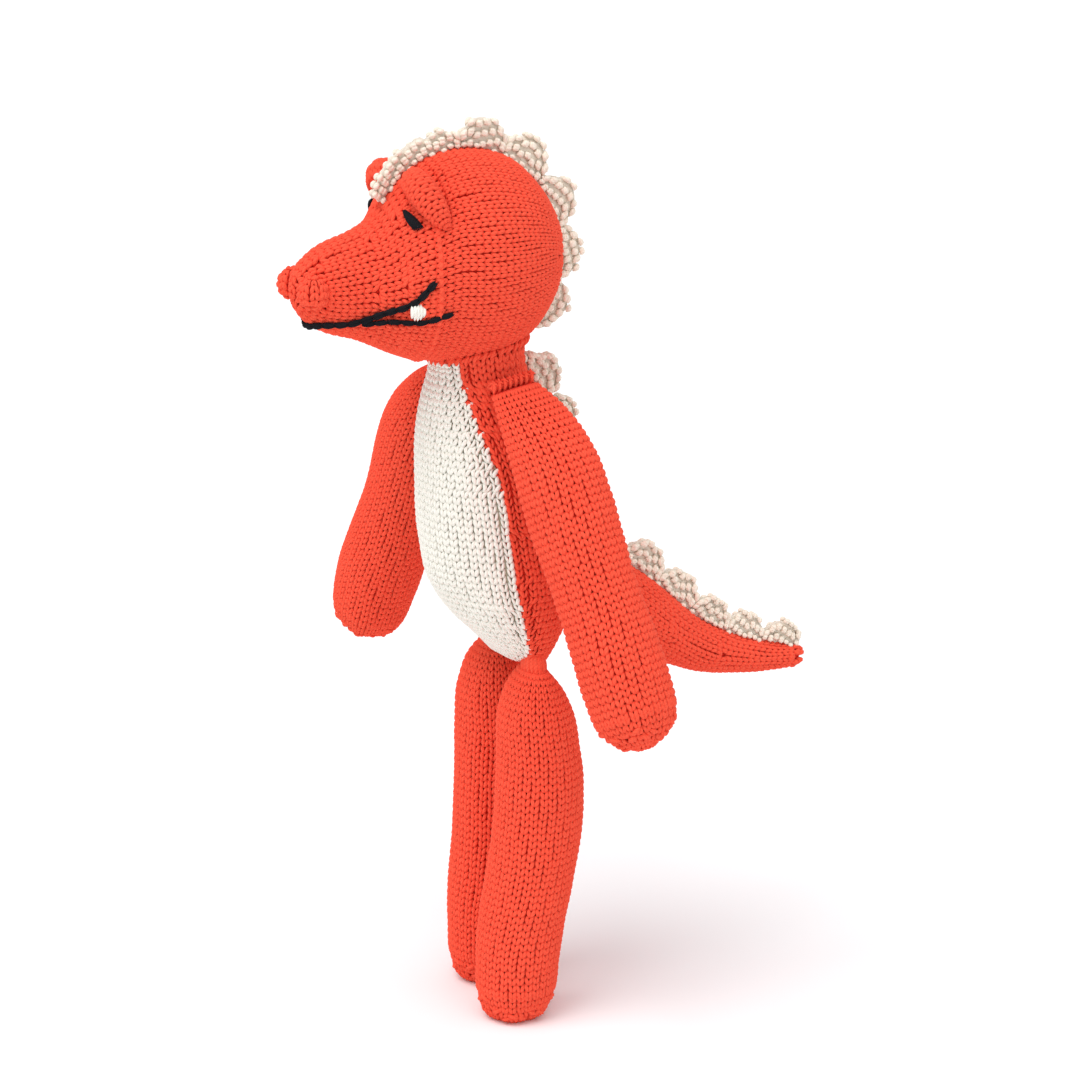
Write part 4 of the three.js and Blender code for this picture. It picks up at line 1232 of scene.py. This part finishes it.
def make_seams(settings):
    ring = angles(60)
    upright = np.array([0, 0, 1.0])
    level = lambda off: [(upright, unit(off * (1, 1, 0)))]
    path = stack(20.2 * np.cos(ring), 20.2 * np.sin(ring), 0) + NECK
    path[:, 2] = under_head(path[:, 0], path[:, 1]) - 1.2
    whipped("neck_seam", "neck_joint", path, True, level, 1.1, settings, 151)
    facing = lambda off: [(np.array([0, 1.0, 0]), unit(off * (1, 0, 1)))]
    path = stack(8.6 * np.cos(ring), 0, 8.6 * np.sin(ring)) + middle("tail_seam")
    whipped("tail_seam", "tail_joint", path, True, facing, 1.5, settings, 152)
    around = angles(18)[:, None]
    drop = np.linspace(6.5, -3.6, 8)
    waist = 0.86 - drop / 26
    gather = stack(7.4 * waist * np.cos(around), 4.8 * waist * np.sin(around), drop)
    fan = [unit(np.array([0, math.sin(t), math.cos(t) * 0.3])) for t in np.radians([-90, -45, 45, 90])]
    for word, side in SIDES.items():
        shoulder, axes = limb_frame(word, side)
        over = lambda off: [(axes[2], axes[0] * side), (axes[0], axes[2])]
        path = np.linspace(shoulder - axes[1] * 10.5, shoulder + axes[1] * 10.5, 20)
        node, body = f"{word}_shoulder_seam", f"{word}_shoulder"
        whipped(node, body, path, False, over, 1.5, settings, 160 + side, 2.4)
        hip = middle(f"{word}_hip_seam")
        under = lambda off: [(upright, way) for way in fan]
        path = np.linspace(hip - (6, 0, 0), hip + (6, 0, 0), 20)
        node, body, gathered = f"{word}_hip_seam", f"{word}_hip", (hip + gather, unit(gather))
        whipped(node, body, path, False, under, 1.9, settings, 170 + side, 2.2, gathered)


# ---- stage


# Each soft lamp: the way to it from the toy, its strength, and how wide it spreads in degrees.
SUNS = (
    ("window_light", (0.1, -0.55, 1.0), 1.4, 40),
    ("side_light", (0.6, -0.1, 1.0), 0.8, 60),
)
CAMERA_ANGLES = (65, 15.5)  # round from the front to the toy's left, and up
CAMERA_TARGET = (-0.0025, 0.0302, -0.0817)  # from the neck, in metres
CAMERA_DISTANCE = 1.335


def make_stage(settings):
    bpy.ops.mesh.primitive_plane_add(size=80, location=(0, 0, 0))
    floor = bpy.context.object
    floor.name = "floor"
    look = bpy.data.materials.new("pale_floor")
    shader = principled(look)
    shader.inputs["Base Color"].default_value = (0.95, 0.95, 0.955, 1)
    shader.inputs["Roughness"].default_value = 0.75
    shader.inputs["Specular IOR Level"].default_value = 0.2
    floor.data.materials.append(look)
    floor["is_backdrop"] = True
    scene = bpy.context.scene
    world = scene.world = bpy.data.worlds.new("studio")
    world.use_nodes = True
    background = next(n for n in world.node_tree.nodes if n.type == "BACKGROUND")
    background.inputs["Color"].default_value = (0.98, 0.985, 1.0, 1)
    background.inputs["Strength"].default_value = 0.66
    for name, way, power, spread in SUNS:
        lamp = bpy.data.lights.new(name, "SUN")
        lamp.energy = power
        lamp.angle = math.radians(spread)
        made = bpy.data.objects.new(name, lamp)
        made.rotation_euler = Vector(way).to_track_quat("Z", "Y").to_euler()
        scene.collection.objects.link(made)
    camera = bpy.data.cameras.new("camera")
    camera.lens = 103
    camera.sensor_width = 36
    holder = scene.camera = bpy.data.objects.new("camera", camera)
    azimuth, elevation = (math.radians(angle) for angle in CAMERA_ANGLES)
    level = math.cos(elevation)
    back = Vector((math.sin(azimuth) * level, -math.cos(azimuth) * level, math.sin(elevation)))
    holder.location = Vector(NECK * MM) + Vector(CAMERA_TARGET) + back * CAMERA_DISTANCE
    holder.rotation_euler = (-back).to_track_quat("-Z", "Y").to_euler()
    scene.collection.objects.link(holder)
    scene.view_settings.view_transform = "Standard"


# ---- add-on


def size_setting(name, default, hint):
    return bpy.props.FloatProperty(name=name, description=hint, default=default, unit="LENGTH")


def colour_setting(name, default, hint):
    return bpy.props.FloatVectorProperty(
        name=name, description=hint, default=default, subtype="COLOR"
    )


class DinosaurSettings(bpy.types.PropertyGroup):
    stitch_width: size_setting("Stitch width", 0.00385, "Width of one knitted stitch")
    row_height: size_setting("Row height", 0.00315, "Height of one knitted row")
    yarn_thickness: size_setting("Yarn thickness", 0.0020, "Diameter of the knitting yarn")
    lumpiness: size_setting("Lumpiness", 0.0005, "How far the stuffing pushes the cover in and out")
    coral: colour_setting("Coral yarn", (0.95, 0.105, 0.055), "Colour of the body")
    cream: colour_setting("Cream yarn", (0.93, 0.91, 0.84), "Colour of the belly and teeth")
    crest: colour_setting("Crest yarn", (0.93, 0.84, 0.72), "Colour of the crest")
    black: colour_setting("Black yarn", (0.012, 0.012, 0.015), "Colour of the eyes and mouth")


def step_operator(step, make, hint):
    """The button that makes one part of the dinosaur."""

    def run_step(self, context):
        make(context.scene.dinosaur)
        return {"FINISHED"}

    members = {
        "__doc__": hint,
        "bl_idname": f"dinosaur.{step}",
        "bl_label": step.capitalize(),
        "execute": run_step,
    }
    return type(f"DINOSAUR_OT_{step}", (bpy.types.Operator,), members)


# Each step of the build: what makes it, and what its button says.
STEPS = {
    "stage": (make_stage, "Set up the floor, the lights and the camera"),
    "torso": (make_torso, "Knit the belly and the back over the stuffed torso"),
    "head": (make_head, "Knit the snout and the ball of the head"),
    "face": (make_face, "Make the brows, eyes, nostrils, mouth and teeth"),
    "crest": (make_crest, "Make the scalloped crest on the head, back and tail"),
    "arms": (make_arms, "Knit both arms and gather their hands"),
    "legs": (make_legs, "Knit both legs"),
    "tail": (make_tail, "Knit the tail"),
    "seams": (make_seams, "Sew the neck, shoulders, hips and tail"),
}


class DINOSAUR_PT_panel(bpy.types.Panel):
    """Sizes, colours and steps of the dinosaur"""

    bl_label = "Dinosaur"
    bl_idname = "DINOSAUR_PT_panel"
    bl_space_type = "VIEW_3D"
    bl_region_type = "UI"
    bl_category = "Dinosaur"

    def draw(self, context):
        settings = context.scene.dinosaur
        for name in DinosaurSettings.__annotations__:
            self.layout.prop(settings, name)
        for step in STEPS:
            self.layout.operator(f"dinosaur.{step}")


OPERATORS = tuple(step_operator(step, *parts) for step, parts in STEPS.items())
CLASSES = (DinosaurSettings, *OPERATORS, DINOSAUR_PT_panel)


def register():
    for each in CLASSES:
        bpy.utils.register_class(each)
    bpy.types.Scene.dinosaur = bpy.props.PointerProperty(type=DinosaurSettings)


def unregister():
    del bpy.types.Scene.dinosaur
    for each in reversed(CLASSES):
        bpy.utils.unregister_class(each)


def write_sizes():
    boxes = {"cad": CAD_BOX, "visual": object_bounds()}
    {name: [list(corner) for corner in pair] for name, pair in boxes.items()}


def main():
    register()
    for step in STEPS:
        getattr(bpy.ops.dinosaur, step)()
    write_sizes()


if __name__ == "__main__":
    main()
